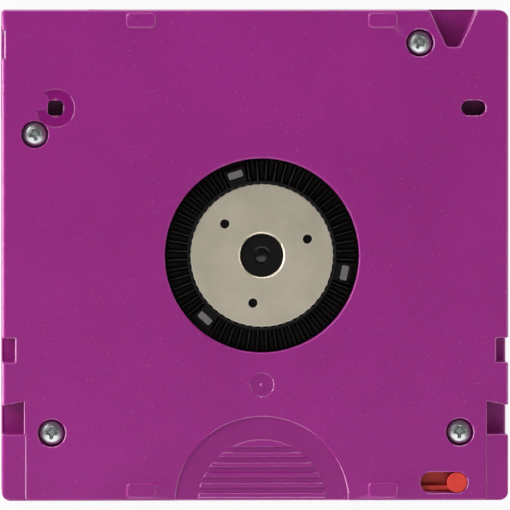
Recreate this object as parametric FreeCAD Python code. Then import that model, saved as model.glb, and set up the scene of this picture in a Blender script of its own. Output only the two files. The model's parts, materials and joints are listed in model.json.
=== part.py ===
import FreeCAD, Part
import math
import os
from FreeCAD import Vector

# Half-inch linear data tape cartridge, single reel, in millimetres.
# It lies on its top cover (Z = 0) with the hub side up. +Y is the front edge, which goes into the
# drive first, -Y is the label edge, and -X is the side with the sliding leader door.

# ---- Modelling allowances ----
merge = 0.1                # overlap that joins two features of one piece
past = 1.0                 # how far a cut runs beyond the face that it opens

# ---- Reel: the case is sized around it ----
flange_r = 48.5            # both reel flanges
flange_t = 1.2
hub_r = 22.0               # the tape winds on this
hub_wall = 2.0             # tube wall
hub_floor_t = 2.0          # wall that carries the clutch, closes the hub's end
spigot_in = 0.3            # hub's spigot stays inside its flange by this
spigot_gap = 0.05
flange_over_tape = 2.0     # flange beyond the wound tape
tape_width = 12.6
tape_play = 0.3            # between the tape and the flanges, both sides together

# ---- Case: walls and lanes around the reel ----
side_wall = 1.8
face_wall = 1.9
reel_end_gap = 0.7         # flange to the front and label walls
reel_side_gap = 1.0        # flange to the plain side wall
door_lane = 3.8            # flange to the door side wall
reel_float_top = 1.7       # flange to the top cover
reel_float_hub = 0.4       # flange to the hub-side cover
top_shell_h = 10.75        # height of the parting plane
corner_r_front_left = 0.8
corner_r_front_right = 2.0
corner_r_rear = 1.8
corner_r_least = 0.4       # inside the walls
wedge_in_left = 18.3       # low tapering bump on the front edge
wedge_l = 7.0
wedge_ramp = 0.6
wedge_out = 0.12
wedge_above_seam = 1.0
seam_groove = 0.22         # small V at the parting plane
bevel_left = 0.54
bevel_right = 0.40
bevel_ends = 0.25

right_x = flange_r + (door_lane + reel_side_gap) / 2 + side_wall
left_x = -right_x
front_y = flange_r + reel_end_gap + side_wall
rear_y = -front_y
hub_x = right_x - side_wall - reel_side_gap - flange_r
hub_y = 0.0
tape_pack_r = flange_r - flange_over_tape
flange_low_z = face_wall + reel_float_top
tape_low_z = flange_low_z + flange_t
tape_high_z = tape_low_z + tape_width + tape_play
flange_top_z = tape_high_z + flange_t
inner_z = flange_top_z + reel_float_hub
face_z = inner_z + face_wall
tape_mid_z = (tape_low_z + tape_high_z) / 2

# ---- Hub-side face features ----
hub_opening_r = 20.2
opening_chamfer = 0.3
thrust_ring_w = 1.4        # ring inside the opening that the flange runs against
thrust_ring_gap = 0.2
foot_w = 6.16
foot_d = 3.16
foot_corner_r = 0.8
foot_h = 0.3
foot_slope = 0.25
foot_left_in = 28.95       # foot centre from the left edge
foot_right_in = 26.15
foot_end_in = 2.1
locate_hole = 3.2          # square hole with rounded corners
locate_hole_r = 0.9
locate_in_left = 11.2
locate_in_front = 20.34
locate_depth = 6.0
locate_boss_wall = 1.0
target_ring_r = 4.0        # shallow C ring around the hole
target_ring_bore = 1.85
target_ring_depth = 0.12
target_ring_middle = 335.0 # the C is closed here
target_ring_half = 150.0
locate_slot_l = 5.04
locate_slot_w = 3.12
locate_slot_in_right = 7.3
gate_r = 2.44
gate_from_hub = 26.9
gate_depth = 0.3
gate_dot_r = 0.35
step_left_in = 5.0         # lowered strips at the label end
step_right_in = 4.6
step_depth = 0.15

# ---- Notches ----
notch_wall = 1.2
v_in_right = 11.5
v_half_mouth = 4.9
v_half_root = 1.25
v_depth = 7.7
v_root_r = 1.0
notch_chamfer = 0.3
side_notch_front = 33.85   # the first pair, from the label edge
side_notch_rear = 28.7
side_notch_in_left = 2.8
side_notch_in_right = 2.55
grip_notch_front = 19.8    # the second pair, mouth edge, from the label edge
grip_notch_rear = 13.7
grip_notch_slant = 0.9
grip_notch_in_left = 4.65
grip_notch_in_right = 4.5

# ---- Thumb grip ----
grip_r = 18.1
grip_centre_out = 0.6      # centre beyond the label edge
grip_depth = 0.6
rib_field_r = 13.3
rib_w = 0.96
rib_pitch = 2.1
rib_first_in = 9.5         # the outermost straight rib, from the label edge
rib_count = 5
rib_h = 0.45
rib_cap_h = 1.6

# ---- Screws and their bosses ----
screw_in_left_a = 6.9      # a: door side, front
screw_in_front_a = 25.8
screw_in_right_b = 18.45   # b: plain side, front
screw_in_front_b = 6.8
screw_in_left_c = 10.35    # c: door side, label end
screw_in_rear_c = 14.1
screw_in_right_d = 10.1    # d: plain side, label end
screw_in_rear_d = 14.2
screw_turns = (58.0, 22.0, 4.0, 0.0)
counterbore_r = 2.86
counterbore_depth = 2.5
counterbore_wall = 0.74
screw_head_r = 2.5
screw_head_h = 1.55
screw_shank_r = 1.25
screw_length = 14.0
screw_crown_r = 1.65       # flat top of the head
screw_rim_h = 0.78         # straight part of the head
screw_hole_gap = 0.2
screw_tip_gap = 0.5
screw_pilot_gap = 0.05
pilot_wall = 1.7
recess_arm = 1.45
recess_w = 0.62
recess_floor_arm = 0.5
recess_depth = 1.0

# ---- Door and its lane ----
door_t = 1.0
door_wall_gap = 0.15
door_groove_gap = 0.2
door_groove_depth = 0.5
door_tip_gap = 0.1
door_len = 29.0
door_front_gap = 0.4
door_travel = 16.5
doorway_front_in = 3.7     # the opening in the side wall, from the front edge
doorway_len = 18.5
finger_lip_out = 1.55
finger_lip_l = 1.4
finger_lip_h = 13.0
finger_relief_front_in = 4.2
finger_relief_l = 5.85
finger_relief_depth = 0.55
pusher_l = 1.4
pusher_out = 1.3
pusher_h = 4.4
spring_end_gap = 0.15
door_spring_r = 0.85
door_spring_wire = 0.5
door_spring_turns = 11
door_spring_gap = 0.05     # to the plane of the door's outer face
coil_steps = 8             # sections in each turn

# ---- Leader pin, its clamp and its retaining springs ----
pin_in_left = 6.7
pin_in_front = 12.5
pin_r = 1.25
pin_head_r = 2.0
pin_head_t = 0.8
pin_neck_l = 1.1
pin_collar_r = 1.9
pin_collar_t = 0.3
pin_play = 0.05
clamp_r = 2.2
clamp_bore_gap = 0.15
clamp_slit = 0.9
pin_pocket_gap = 0.2
pin_pocket_wall = 0.8
keeper_t = 0.25
keeper_h = 0.9
keeper_gap = 0.2
keeper_post_r = 1.05
keeper_post_out = 3.2
keeper_nip = 0.55          # its tips close this far in front of the pin
keeper_tip_l = 0.7
keeper_tip_out = 0.15
keeper_nip_in = 0.35
keeper_bend_sides = 6
seat_wall_half = 115.0
leader_t = 0.12
leader_gap = 0.3

# ---- Write-protect slider ----
slot_l = 9.8
slot_w = 4.34
slot_in_right = 13.4
slot_in_rear = 3.7
button_r = 2.1
button_end_gap = 0.05
button_low = 0.1           # below the face
slider_t = 1.15
slider_low = 2.0           # plate under the face wall
slider_gap = 0.15
slider_cover = 0.45
slider_web_t = 1.0
slider_side_gap = 0.2
thumb_w = 4.6
thumb_h = 5.8
thumb_in = 0.3             # thumb piece inside the label face
window_h = 6.75
slider_rail_t = 0.8
slider_rail_h = 3.8
slider_channel = 0.4
thumb_groove_w = 0.6
thumb_groove_depth = 0.4
prop_t = 1.0               # ribs under the slider
prop_reach = 2.0
prop_in_left = 1.0
prop_in_right = 2.0
prop_at = 0.35             # the middle rib, along the slider

# ---- Memory board ----
board_w = 10.8
board_l = 7.6
board_t = 0.8
board_in_left = 10.2
gusset_leg = 8.2
gusset_t = 1.0
board_seat_gap = 0.05
board_prop_out = 2.5       # ribs of the top shell that press the board
board_prop_low = 2.2
board_prop_high = 5.2
chip_w = 4.0
chip_t = 0.5

# ---- Reel guard ribs and label recess ----
guard_gap = 0.8
guard_t = 1.0
guard_h = 6.5
guard_arcs = ((35.0, 9.0), (222.0, 8.0), (322.0, 10.0))    # middle and half angle
arrow_in_front = 7.0       # insertion arrow in the top cover
arrow_l = 5.0
arrow_depth = 0.25
foot_socket_gap = 0.2      # the feet of one cartridge sit in the cover of the next
foot_socket_more = 0.05
label_recess = 0.4
label_left_in = 5.7
label_right_in = 21.2
label_edge = 3.0

# ---- Clutch on the hub ----
boss_gap = 0.4             # hub boss to the shell's opening
tooth_positions = 60
tooth_end_in = 0.1
tooth_h = 1.3
tooth_base = 0.068         # share of the radius, so that the teeth taper with the pitch
tooth_tip = 0.01
tooth_below_face = 0.9
window_count = 3
window_angle = 108.0
window_half = 6.8
window_frame_r = 18.9
window_frame_low = 0.45    # frame below the tooth tips
window_notch_half = 5.0
window_notch_depth = 0.5
plate_r = 15.06
plate_t = 1.0
plate_ring_wall = 0.5      # plastic ring between the plate and the teeth
plate_ring_high = 0.1      # above the tooth tips
plate_below_tips = 0.4
plate_gap = 0.04
plate_bore_r = 4.5
plate_bore_chamfer = 0.35
plate_hole_r = 0.97
plate_hole_at = 10.1
plate_hole_angle = 19.5
scallop_depth = 0.2
gate_ring_r = 1.8
gate_ring_w = 0.6
gate_ring_depth = 0.25

# ---- Release plate and brake ----
leg_at = 17.6
leg_w = 3.2
leg_d = 1.56
leg_corner = 0.2
leg_gap = 0.2
leg_below_tips = 0.2
leg_crown_h = 0.2
leg_crown_in = 0.12
release_t = 1.2
release_gap = 0.3          # to the hub floor, and to the brake's nose
release_disc_r = 7.0
arm_w = 5.0
brake_teeth = 36
brake_tooth_r_in = 14.0
brake_tooth_l = 3.0
brake_tooth_h = 1.2
brake_tooth_base = 1.9
brake_tooth_tip = 0.6
brake_tooth_overlap = 0.8
lock_block_t = 1.6         # hub blocks that carry the locking teeth
lock_block_half = 42.0
brake_rim = 0.2            # face beyond the ends of the teeth
brake_disc_t = 1.5
brake_nose_r = 3.5
brake_stem_r = 6.2
brake_stem_l = 6.6
key_l = 8.6
key_t = 2.2
key_gap = 0.2
key_h = 7.3
key_slot_roof = 0.8
brake_travel = 1.5
brake_spring_gap = 0.8
brake_spring_wire = 0.8
brake_spring_turns = 5
brake_spring_end_gap = 0.2
spring_guide_gap = 0.5
spring_guide_t = 1.0
spring_guide_h = 2.5


# ---------------------------------------------------------------- shapes

def slab(x0, x1, y0, y1, z0, z1):
    return Part.makeBox(x1 - x0, y1 - y0, z1 - z0, Vector(x0, y0, z0))


def rod(x, y, r, z0, z1):
    return Part.makeCylinder(r, z1 - z0, Vector(x, y, z0))


def tube(x, y, r_out, r_in, z0, z1):
    return rod(x, y, r_out, z0, z1).cut(rod(x, y, r_in, z0, z1))


def cone_rim(x, y, r_low, r_high, z0, z1):
    return Part.makeCone(r_low, r_high, z1 - z0, Vector(x, y, z0))


def rounded_wire(corners, z):
    """Closed outline through corners (x, y, radius), counter-clockwise."""
    ends = []
    for i, (x, y, r) in enumerate(corners):
        px, py, _ = corners[i - 1]
        nx, ny, _ = corners[(i + 1) % len(corners)]
        here = Vector(x, y, z)
        back = (Vector(px, py, z) - here).normalize()
        ahead = (Vector(nx, ny, z) - here).normalize()
        half = back.getAngle(ahead) / 2
        if r <= 0:
            ends.append((here, None, here))
            continue
        reach = r / math.tan(half)
        centre = here + (back + ahead).normalize() * (r / math.sin(half))
        middle = centre + (here - centre).normalize() * r
        ends.append((here + back * reach, middle, here + ahead * reach))
    edges = []
    for i, (start, middle, end) in enumerate(ends):
        if middle is not None:
            edges.append(Part.Arc(start, middle, end).toShape())
        following = ends[(i + 1) % len(ends)][0]
        if (following - end).Length > 1e-6:
            edges.append(Part.LineSegment(end, following).toShape())
    return Part.Wire(edges)


def rounded_prism(corners, z0, z1):
    return Part.Face(rounded_wire(corners, z0)).extrude(Vector(0, 0, z1 - z0))


def prism(points, z0, z1):
    return rounded_prism([(x, y, 0) for x, y in points], z0, z1)


def rect_corners(x, y, w, d, r):
    return [(x - w / 2, y - d / 2, r), (x + w / 2, y - d / 2, r),
            (x + w / 2, y + d / 2, r), (x - w / 2, y + d / 2, r)]


def pad(x, y, w, d, r, z0, z1):
    return rounded_prism(rect_corners(x, y, w, d, r), z0, z1)


def cut_corners(x, y, w, d, cut):
    """Outline of a rectangle whose corners are cut off at 45 degrees."""
    points = []
    for sx, sy in ((-1, -1), (1, -1), (1, 1), (-1, 1)):
        along = (x + sx * (w / 2 - cut), y + sy * d / 2, 0)
        side = (x + sx * w / 2, y + sy * (d / 2 - cut), 0)
        points += [along, side] if sx == sy * -1 else [side, along]
    return points


def peg(x, y, w, d, cut, z0, z1, slope):
    """Upright peg with cut corners, its upper face smaller by slope all round."""
    low = rounded_wire(cut_corners(x, y, w, d, cut), z0)
    high = rounded_wire(cut_corners(x, y, w - 2 * slope, d - 2 * slope, cut), z1)
    return Part.makeLoft([low, high], True, True)


def tapered_pad(x, y, w, d, r, z0, z1, slope):
    """Rounded pad whose upper face is smaller by slope all round."""
    low = rounded_wire(rect_corners(x, y, w, d, r), z0)
    high = rounded_wire(rect_corners(x, y, w - 2 * slope, d - 2 * slope, r - slope / 2), z1)
    return Part.makeLoft([low, high], True, True)


def stadium(x, y, length, width, z0, z1):
    across = (length - width) / 2
    ends = [rod(x - across, y, width / 2, z0, z1), rod(x + across, y, width / 2, z0, z1)]
    middle = slab(x - across, x + across, y - width / 2, y + width / 2, z0, z1)
    return middle.fuse(ends).removeSplitter()


def turned(shape, degrees, x, y):
    copy = shape.copy()
    copy.rotate(Vector(x, y, 0), Vector(0, 0, 1), degrees)
    return copy


def sector(x, y, r_in, r_out, middle, half, z0, z1):
    """Part of a ring, centred on the angle middle, half degrees to each side."""
    wedge = Part.makeCylinder(r_out, z1 - z0, Vector(x, y, z0), Vector(0, 0, 1), 2 * half)
    return turned(wedge, middle - half, x, y).cut(rod(x, y, r_in, z0, z1))


def revolved(profile, x, y):
    """Solid of revolution about a vertical axis, from (radius, height) corners."""
    points = [Vector(x + r, y, z) for r, z in profile]
    face = Part.Face(Part.makePolygon(points + [points[0]]))
    return face.revolve(Vector(x, y, 0), Vector(0, 0, 1), 360)


def yz_prism(points, x0, x1):
    """Plate across X from its (y, z) outline."""
    corners = [Vector(x0, y, z) for y, z in points]
    return Part.Face(Part.makePolygon(corners + [corners[0]])).extrude(Vector(x1 - x0, 0, 0))


def xz_prism(points, y0, y1):
    """Plate across Y from its (x, z) outline."""
    corners = [Vector(x, y0, z) for x, z in points]
    return Part.Face(Part.makePolygon(corners + [corners[0]])).extrude(Vector(0, y1 - y0, 0))


def joined(shapes):
    return shapes[0].fuse(shapes[1:]) if len(shapes) > 1 else shapes[0]


def coil(radius, wire, z0, z1, turns):
    """Coil spring on the Z axis, between z0 and z1, as a ruled strip of four-sided sections."""
    rise = z1 - z0 - wire
    sections = []
    for i in range(turns * coil_steps + 1):
        angle = 2 * math.pi * i / coil_steps
        height = z0 + wire / 2 + rise * i / (turns * coil_steps)
        points = []
        for out, up in ((wire / 2, 0), (0, wire / 2), (-wire / 2, 0), (0, -wire / 2)):
            reach = radius + out
            points.append(Vector(reach * math.cos(angle), reach * math.sin(angle), height + up))
        sections.append(Part.makePolygon(points + [points[0]]))
    return Part.makeLoft(sections, True, True)


# ---------------------------------------------------------------- places

screw_places = (
    (left_x + screw_in_left_a, front_y - screw_in_front_a),
    (right_x - screw_in_right_b, front_y - screw_in_front_b),
    (left_x + screw_in_left_c, rear_y + screw_in_rear_c),
    (right_x - screw_in_right_d, rear_y + screw_in_rear_d),
)
screw_names = ("screw_door_front", "screw_plain_front", "screw_door_rear", "screw_plain_rear")
foot_places = [(x, y) for x in (left_x + foot_left_in, right_x - foot_right_in)
               for y in (front_y - foot_end_in, rear_y + foot_end_in)]
locate_x = left_x + locate_in_left
locate_y = front_y - locate_in_front
slot_x = right_x - slot_in_right
slot_y = rear_y + slot_in_rear
v_x = right_x - v_in_right
pin_x = left_x + pin_in_left
pin_y = front_y - pin_in_front
window_angles = [window_angle + 360.0 / window_count * i for i in range(window_count)]

tooth_r_in = plate_r + plate_gap + plate_ring_wall
tooth_tip_z = face_z - tooth_below_face
plate_seat_z = tooth_tip_z - plate_below_tips - plate_t
tooth_root_z = tooth_tip_z - tooth_h
hub_floor_z = flange_top_z - hub_floor_t
release_high_z = hub_floor_z - release_gap
release_low_z = release_high_z - release_t
lock_base_z = hub_floor_z - lock_block_t
lock_tip_z = lock_base_z - brake_tooth_h
brake_tip_z = lock_tip_z + brake_tooth_overlap
brake_base_z = brake_tip_z - brake_tooth_h
brake_low_z = brake_base_z - brake_disc_t
stem_low_z = brake_low_z - brake_stem_l
brake_spring_r = brake_stem_r + brake_spring_gap + brake_spring_wire / 2

door_out_x = left_x + side_wall + door_wall_gap
door_in_x = door_out_x + door_t
door_front_y = front_y - side_wall - door_front_gap
door_rear_y = door_front_y - door_len
door_low_z = face_wall - door_groove_depth + door_tip_gap
door_high_z = inner_z + door_groove_depth - door_tip_gap
doorway_front_y = front_y - doorway_front_in
doorway_rear_y = doorway_front_y - doorway_len
door_spring_x = door_out_x + door_spring_r + door_spring_wire / 2 + door_spring_gap
spring_stop_y = rear_y + side_notch_front + notch_wall

slot_left_x = slot_x - slot_l / 2
slot_right_x = slot_x + slot_l / 2
button_x = slot_right_x - button_r - button_end_gap
slider_travel = button_x - (slot_left_x + button_r + button_end_gap)
slider_left_x = slot_left_x - slider_cover
slider_right_x = slot_right_x + slider_travel + slider_cover
slider_high_z = inner_z - slider_low
slider_rear_y = slot_y - slot_w / 2 + slider_gap / 2
slider_front_y = slot_y + slot_w / 2 + slider_cover
window_left_x = button_x - thumb_w / 2 - slider_travel - slider_side_gap
window_right_x = button_x + thumb_w / 2 + slider_side_gap
window_high_z = top_shell_h + window_h


# ---------------------------------------------------------------- case

def case_prism(inset, z0, z1):
    """The case's plan outline, moved in by inset."""
    def radius(r):
        return max(r - inset, corner_r_least)
    corners = [(left_x + inset, rear_y + inset, radius(corner_r_rear)),
               (right_x - inset, rear_y + inset, radius(corner_r_rear)),
               (right_x - inset, front_y - inset, radius(corner_r_front_right)),
               (left_x + inset, front_y - inset, radius(corner_r_front_left))]
    return rounded_prism(corners, z0, z1)


def v_notch(grow, z0, z1):
    """Tapered notch in the front edge, its walls moved out by grow."""
    slope = (v_half_mouth - v_half_root) / v_depth
    root_y = front_y - v_depth - grow
    past_y = front_y + past
    widen = grow * math.sqrt(1 + slope * slope) - grow * slope
    root = v_half_root + widen
    mouth = root + slope * (past_y - root_y)
    return rounded_prism([(v_x - root, root_y, v_root_r), (v_x + root, root_y, v_root_r),
                          (v_x + mouth, past_y, 0), (v_x - mouth, past_y, 0)], z0, z1)


def side_notch(side, depth, front, rear, slant, grow, z0, z1):
    """Notch in a side wall; side is -1 for the door side and 1 for the plain side."""
    edge = right_x * side
    bottom_x = edge - side * (depth + grow)
    past_x = edge + side * past
    tilt = slant * (depth + grow + past) / depth
    points = [(past_x, front - tilt + grow), (bottom_x, front + grow),
              (bottom_x, rear - grow), (past_x, rear - grow)]
    if side > 0:
        points.reverse()
    return prism(points, z0, z1)


def side_notches(grow, z0, z1):
    plain_front = rear_y + side_notch_front
    plain_rear = rear_y + side_notch_rear
    slant_front = rear_y + grip_notch_front + grip_notch_slant
    slant_rear = rear_y + grip_notch_rear
    return [side_notch(-1, side_notch_in_left, plain_front, plain_rear, 0.0, grow, z0, z1),
            side_notch(1, side_notch_in_right, plain_front, plain_rear, 0.0, grow, z0, z1),
            side_notch(-1, grip_notch_in_left, slant_front, slant_rear, grip_notch_slant, grow, z0, z1),
            side_notch(1, grip_notch_in_right, slant_front, slant_rear, grip_notch_slant, grow, z0, z1)]


def notches(grow, z0, z1):
    return [v_notch(grow, z0, z1)] + side_notches(grow, z0, z1)


def edge_bevels(z, up):
    """Wedges that bevel the long edges of a face at height z; up is 1 or -1."""
    wedges = []
    for x, width, side in ((left_x, bevel_left, -1), (right_x, bevel_right, 1)):
        points = [(x + side * past, z - up * (width + past)), (x + side * past, z + up * past),
                  (x - side * (width + past), z + up * past)]
        wedges.append(xz_prism(points, rear_y - past, front_y + past))
    for y, side in ((rear_y, -1), (front_y, 1)):
        points = [(y + side * past, z - up * (bevel_ends + past)), (y + side * past, z + up * past),
                  (y - side * (bevel_ends + past), z + up * past)]
        wedges.append(yz_prism(points, left_x - past, right_x + past))
    return wedges


def seam(up):
    """Half of the V groove along the parting plane."""
    low = top_shell_h if up else top_shell_h - seam_groove
    band = case_prism(-past, low, low + seam_groove)
    return band.cut(case_prism(seam_groove, low, low + seam_groove))


def thumb_grip(surface_z, up):
    """Shallow round recess at the label edge, and the ribs that stand in it."""
    centre_y = rear_y - grip_centre_out
    floor_z = surface_z - up * grip_depth
    rib_z = floor_z + up * rib_h
    low, high = sorted((floor_z, surface_z + up * past))
    recess = rod(hub_x, centre_y, grip_r, low, high)
    low, high = sorted((floor_z - up * merge, rib_z))
    field = rod(hub_x, centre_y, rib_field_r, low, high)
    bars = []
    for i in range(rib_count):
        y = rear_y + rib_first_in - i * rib_pitch
        bars.append(slab(hub_x - grip_r, hub_x + grip_r, y - rib_w / 2, y + rib_w / 2, low, high))
    cap_y = centre_y + rib_field_r - rib_cap_h
    bars.append(slab(hub_x - grip_r, hub_x + grip_r, cap_y, cap_y + grip_r, low, high))
    ribs = field.common(joined(bars)).common(case_prism(bevel_ends, low, high))
    return recess, ribs


def guards(z0, z1):
    """Curved ribs around the reel in the three corners that the tape doesn't cross."""
    r = flange_r + guard_gap
    return [sector(hub_x, hub_y, r, r + guard_t, middle, half, z0, z1)
            for middle, half in guard_arcs]


def doorway():
    """The opening in the door side wall, through both covers."""
    return slab(left_x - past, left_x + side_wall, doorway_rear_y, doorway_front_y, face_wall, inner_z)


def door_groove(z0, z1):
    """Track for one edge of the door."""
    return slab(door_out_x - door_groove_gap, door_in_x + door_groove_gap,
                door_rear_y - door_travel - door_groove_gap, front_y - side_wall, z0, z1)


def label_area():
    return slab(left_x + label_left_in, right_x - label_right_in, rear_y - past, rear_y + label_recess,
                label_edge, face_z - label_edge)


def hub_side_shell():
    shell = case_prism(0, top_shell_h, face_z)
    shell = shell.cut(case_prism(side_wall, top_shell_h, inner_z))
    inside = case_prism(side_wall / 2, top_shell_h, face_z)
    adds = [n.common(inside) for n in notches(notch_wall, top_shell_h, inner_z + merge)]
    for x, y in screw_places:
        adds.append(rod(x, y, counterbore_r + counterbore_wall, top_shell_h, inner_z))
    boss_low_z = face_z - locate_depth - locate_boss_wall
    adds.append(rod(locate_x, locate_y, locate_hole / 2 + locate_boss_wall, boss_low_z, inner_z))
    adds.append(stadium(right_x - locate_slot_in_right, locate_y, locate_slot_l + 2 * locate_boss_wall,
                        locate_slot_w + 2 * locate_boss_wall, boss_low_z, inner_z))
    adds.append(tube(hub_x, hub_y, hub_opening_r + thrust_ring_w, hub_opening_r,
                     flange_top_z + thrust_ring_gap, inner_z))
    adds += guards(inner_z - guard_h, inner_z)
    adds += board_gussets()
    rail_y = slider_front_y + slider_side_gap
    adds.append(slab(slider_left_x - slider_travel, right_x - side_wall / 2, rail_y, rail_y + slider_rail_t,
                     inner_z - slider_rail_h, inner_z))
    post_z = inner_z - pin_neck_l - pin_collar_t
    adds.append(rod(pin_x + keeper_post_out, pin_y, keeper_post_r, post_z, inner_z))
    adds += [tapered_pad(x, y, foot_w, foot_d, foot_corner_r, face_z, face_z + foot_h, foot_slope)
             for x, y in foot_places]
    adds.append(front_wedge())
    recess, ribs = thumb_grip(face_z, 1)
    shell = shell.fuse(adds).cut([recess] + hub_side_cuts()).fuse(ribs)
    return shell.removeSplitter()


def front_wedge():
    """Low tapering bump on the front edge."""
    x0 = left_x + wedge_in_left
    x1 = x0 + wedge_l
    points = [(x0, front_y - merge), (x1, front_y - merge), (x1, front_y),
              (x0 + wedge_ramp, front_y + wedge_out), (x0, front_y + wedge_out)]
    return prism(points, top_shell_h + wedge_above_seam, face_z - bevel_ends)


def hub_side_cuts():
    top = face_z + past
    lip_z = face_z - opening_chamfer
    cuts = notches(0, top_shell_h - past, top)
    cuts += notch_lips()
    cuts.append(rod(hub_x, hub_y, hub_opening_r, flange_top_z, top))
    cuts.append(cone_rim(hub_x, hub_y, hub_opening_r, hub_opening_r + opening_chamfer, lip_z, face_z))
    for x, y in screw_places:
        cuts.append(rod(x, y, counterbore_r, face_z - counterbore_depth, top))
        cuts.append(rod(x, y, screw_shank_r + screw_hole_gap, top_shell_h - past, top))
    floor_z = face_z - locate_depth
    cuts.append(pad(locate_x, locate_y, locate_hole, locate_hole, locate_hole_r, floor_z, top))
    cuts.append(stadium(right_x - locate_slot_in_right, locate_y, locate_slot_l, locate_slot_w, floor_z, top))
    cuts.append(sector(locate_x, locate_y, target_ring_bore, target_ring_r, target_ring_middle,
                       target_ring_half, face_z - target_ring_depth, top))
    cuts.append(tube(hub_x, hub_y - gate_from_hub, gate_r, gate_dot_r, face_z - gate_depth, top))
    step_end_y = rear_y + grip_notch_rear
    for x0, x1 in ((left_x - past, left_x + step_left_in), (right_x - step_right_in, right_x + past)):
        cuts.append(slab(x0, x1, rear_y - past, step_end_y, face_z - step_depth, top))
    relief_front_y = front_y - finger_relief_front_in
    cuts.append(slab(left_x - past, left_x + finger_relief_depth, relief_front_y - finger_relief_l,
                     relief_front_y, inner_z - past, top))
    cuts.append(doorway())
    cuts.append(door_groove(inner_z, inner_z + door_groove_depth))
    cuts += pin_channel(inner_z, pin_high_z() + pin_play)
    cuts.append(stadium(slot_x, slot_y, slot_l, slot_w, inner_z - past, top))
    cuts.append(slab(slider_left_x - slider_travel, right_x - side_wall, rear_y + side_wall - slider_channel,
                     rear_y + side_wall, slider_high_z - slider_t - slider_gap, inner_z))
    cuts.append(slab(window_left_x, window_right_x, rear_y - past, rear_y + side_wall,
                     top_shell_h - past, window_high_z))
    cuts.append(label_area())
    cuts += edge_bevels(face_z, 1)
    cuts.append(seam(True))
    return cuts


def notch_lips():
    """Chamfered lip of the front notch."""
    low = v_notch(0, face_z - notch_chamfer, face_z)
    high = v_notch(notch_chamfer, face_z, face_z + past)
    wires = [max(s.Faces, key=lambda f: f.CenterOfMass.z).OuterWire for s in (low, high)]
    lower = wires[0].copy()
    lower.translate(Vector(0, 0, -notch_chamfer))
    upper = wires[1].copy()
    upper.translate(Vector(0, 0, -past))
    return [Part.makeLoft([lower, upper], True, True)]


def pin_high_z():
    return tape_mid_z + pin_half_length()


def pin_half_length():
    return tape_width / 2 + pin_play + pin_collar_t + pin_neck_l + pin_head_t


def pin_channel(z0, z1):
    """Way out for one end of the leader pin, to the door side."""
    r = pin_head_r + pin_pocket_gap
    return [rod(pin_x, pin_y, r, z0, z1), slab(left_x - past, pin_x, pin_y - r, pin_y + r, z0, z1)]


def board_gussets():
    """Triangles that hold the memory board at 45 degrees in the corner."""
    y = rear_y + side_wall
    points = [(y, inner_z), (y, inner_z - gusset_leg), (y + gusset_leg, inner_z)]
    x = left_x + board_in_left
    reach = board_w / 2 - gusset_t / 2
    return [yz_prism(points, x + s * reach - gusset_t / 2, x + s * reach + gusset_t / 2) for s in (-1, 1)]


def top_shell():
    shell = case_prism(0, 0, top_shell_h)
    shell = shell.cut(case_prism(side_wall, face_wall, top_shell_h))
    inside = case_prism(side_wall / 2, 0, face_z)
    adds = [n.common(inside) for n in notches(notch_wall, top_shell_h - notch_wall, top_shell_h)]
    for x, y in screw_places:
        adds.append(rod(x, y, screw_shank_r + pilot_wall, face_wall, top_shell_h))
    adds += guards(face_wall, face_wall + guard_h)
    adds += board_props()
    adds += slider_props()
    adds += leader_seat()
    adds += brake_seat()
    recess, ribs = thumb_grip(0, -1)
    shell = shell.fuse(adds).cut([recess] + top_shell_cuts()).fuse(ribs)
    return shell.removeSplitter()


def board_props():
    """Ribs that press the memory board against its gussets."""
    y = rear_y + side_wall
    drop = (board_t + 3 * board_seat_gap) * math.sqrt(2)
    low_y = y + board_prop_low
    high_y = y + board_prop_high
    slope_z = inner_z - gusset_leg - drop - y
    points = [(y - merge, face_wall), (high_y, face_wall), (high_y, slope_z + high_y),
              (low_y, slope_z + low_y), (low_y, top_shell_h), (y - merge, top_shell_h)]
    xs = [left_x + board_in_left + s * board_prop_out for s in (-1, 1)]
    return [yz_prism(points, x - gusset_t / 2, x + gusset_t / 2) for x in xs]


def slider_props():
    """Ribs under the slider's web."""
    y = rear_y + side_wall
    span = slider_right_x - slider_left_x
    xs = [slider_left_x - slider_travel + prop_in_left, slider_left_x + span * prop_at,
          slider_right_x - prop_in_right]
    return [slab(x, x + prop_t, y - merge, y + prop_reach, face_wall, top_shell_h) for x in xs]


def leader_seat():
    """Raised seat, open to the door side, for the lower end of the leader pin."""
    r = pin_head_r + pin_pocket_gap
    low_z = tape_mid_z - pin_half_length()
    seat_z = low_z - pin_play
    left = door_in_x + 2 * door_groove_gap
    seat = rod(pin_x, pin_y, r, face_wall, seat_z)
    track = slab(left, pin_x, pin_y - r, pin_y + r, face_wall, seat_z)
    wall = sector(pin_x, pin_y, r, r + pin_pocket_wall, 0.0, seat_wall_half, face_wall, low_z + pin_head_t)
    post = rod(pin_x + keeper_post_out, pin_y, keeper_post_r, face_wall, low_z + pin_head_t + pin_neck_l)
    return [seat, track, wall, post]


def brake_seat():
    """Key that stops the brake from turning, and the ring that guides its spring."""
    key = slab(hub_x - key_l / 2, hub_x + key_l / 2, hub_y - key_t / 2, hub_y + key_t / 2,
               face_wall, face_wall + key_h)
    r = brake_spring_r + brake_spring_wire / 2 + spring_guide_gap
    return [key, tube(hub_x, hub_y, r + spring_guide_t, r, face_wall, face_wall + spring_guide_h)]


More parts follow.
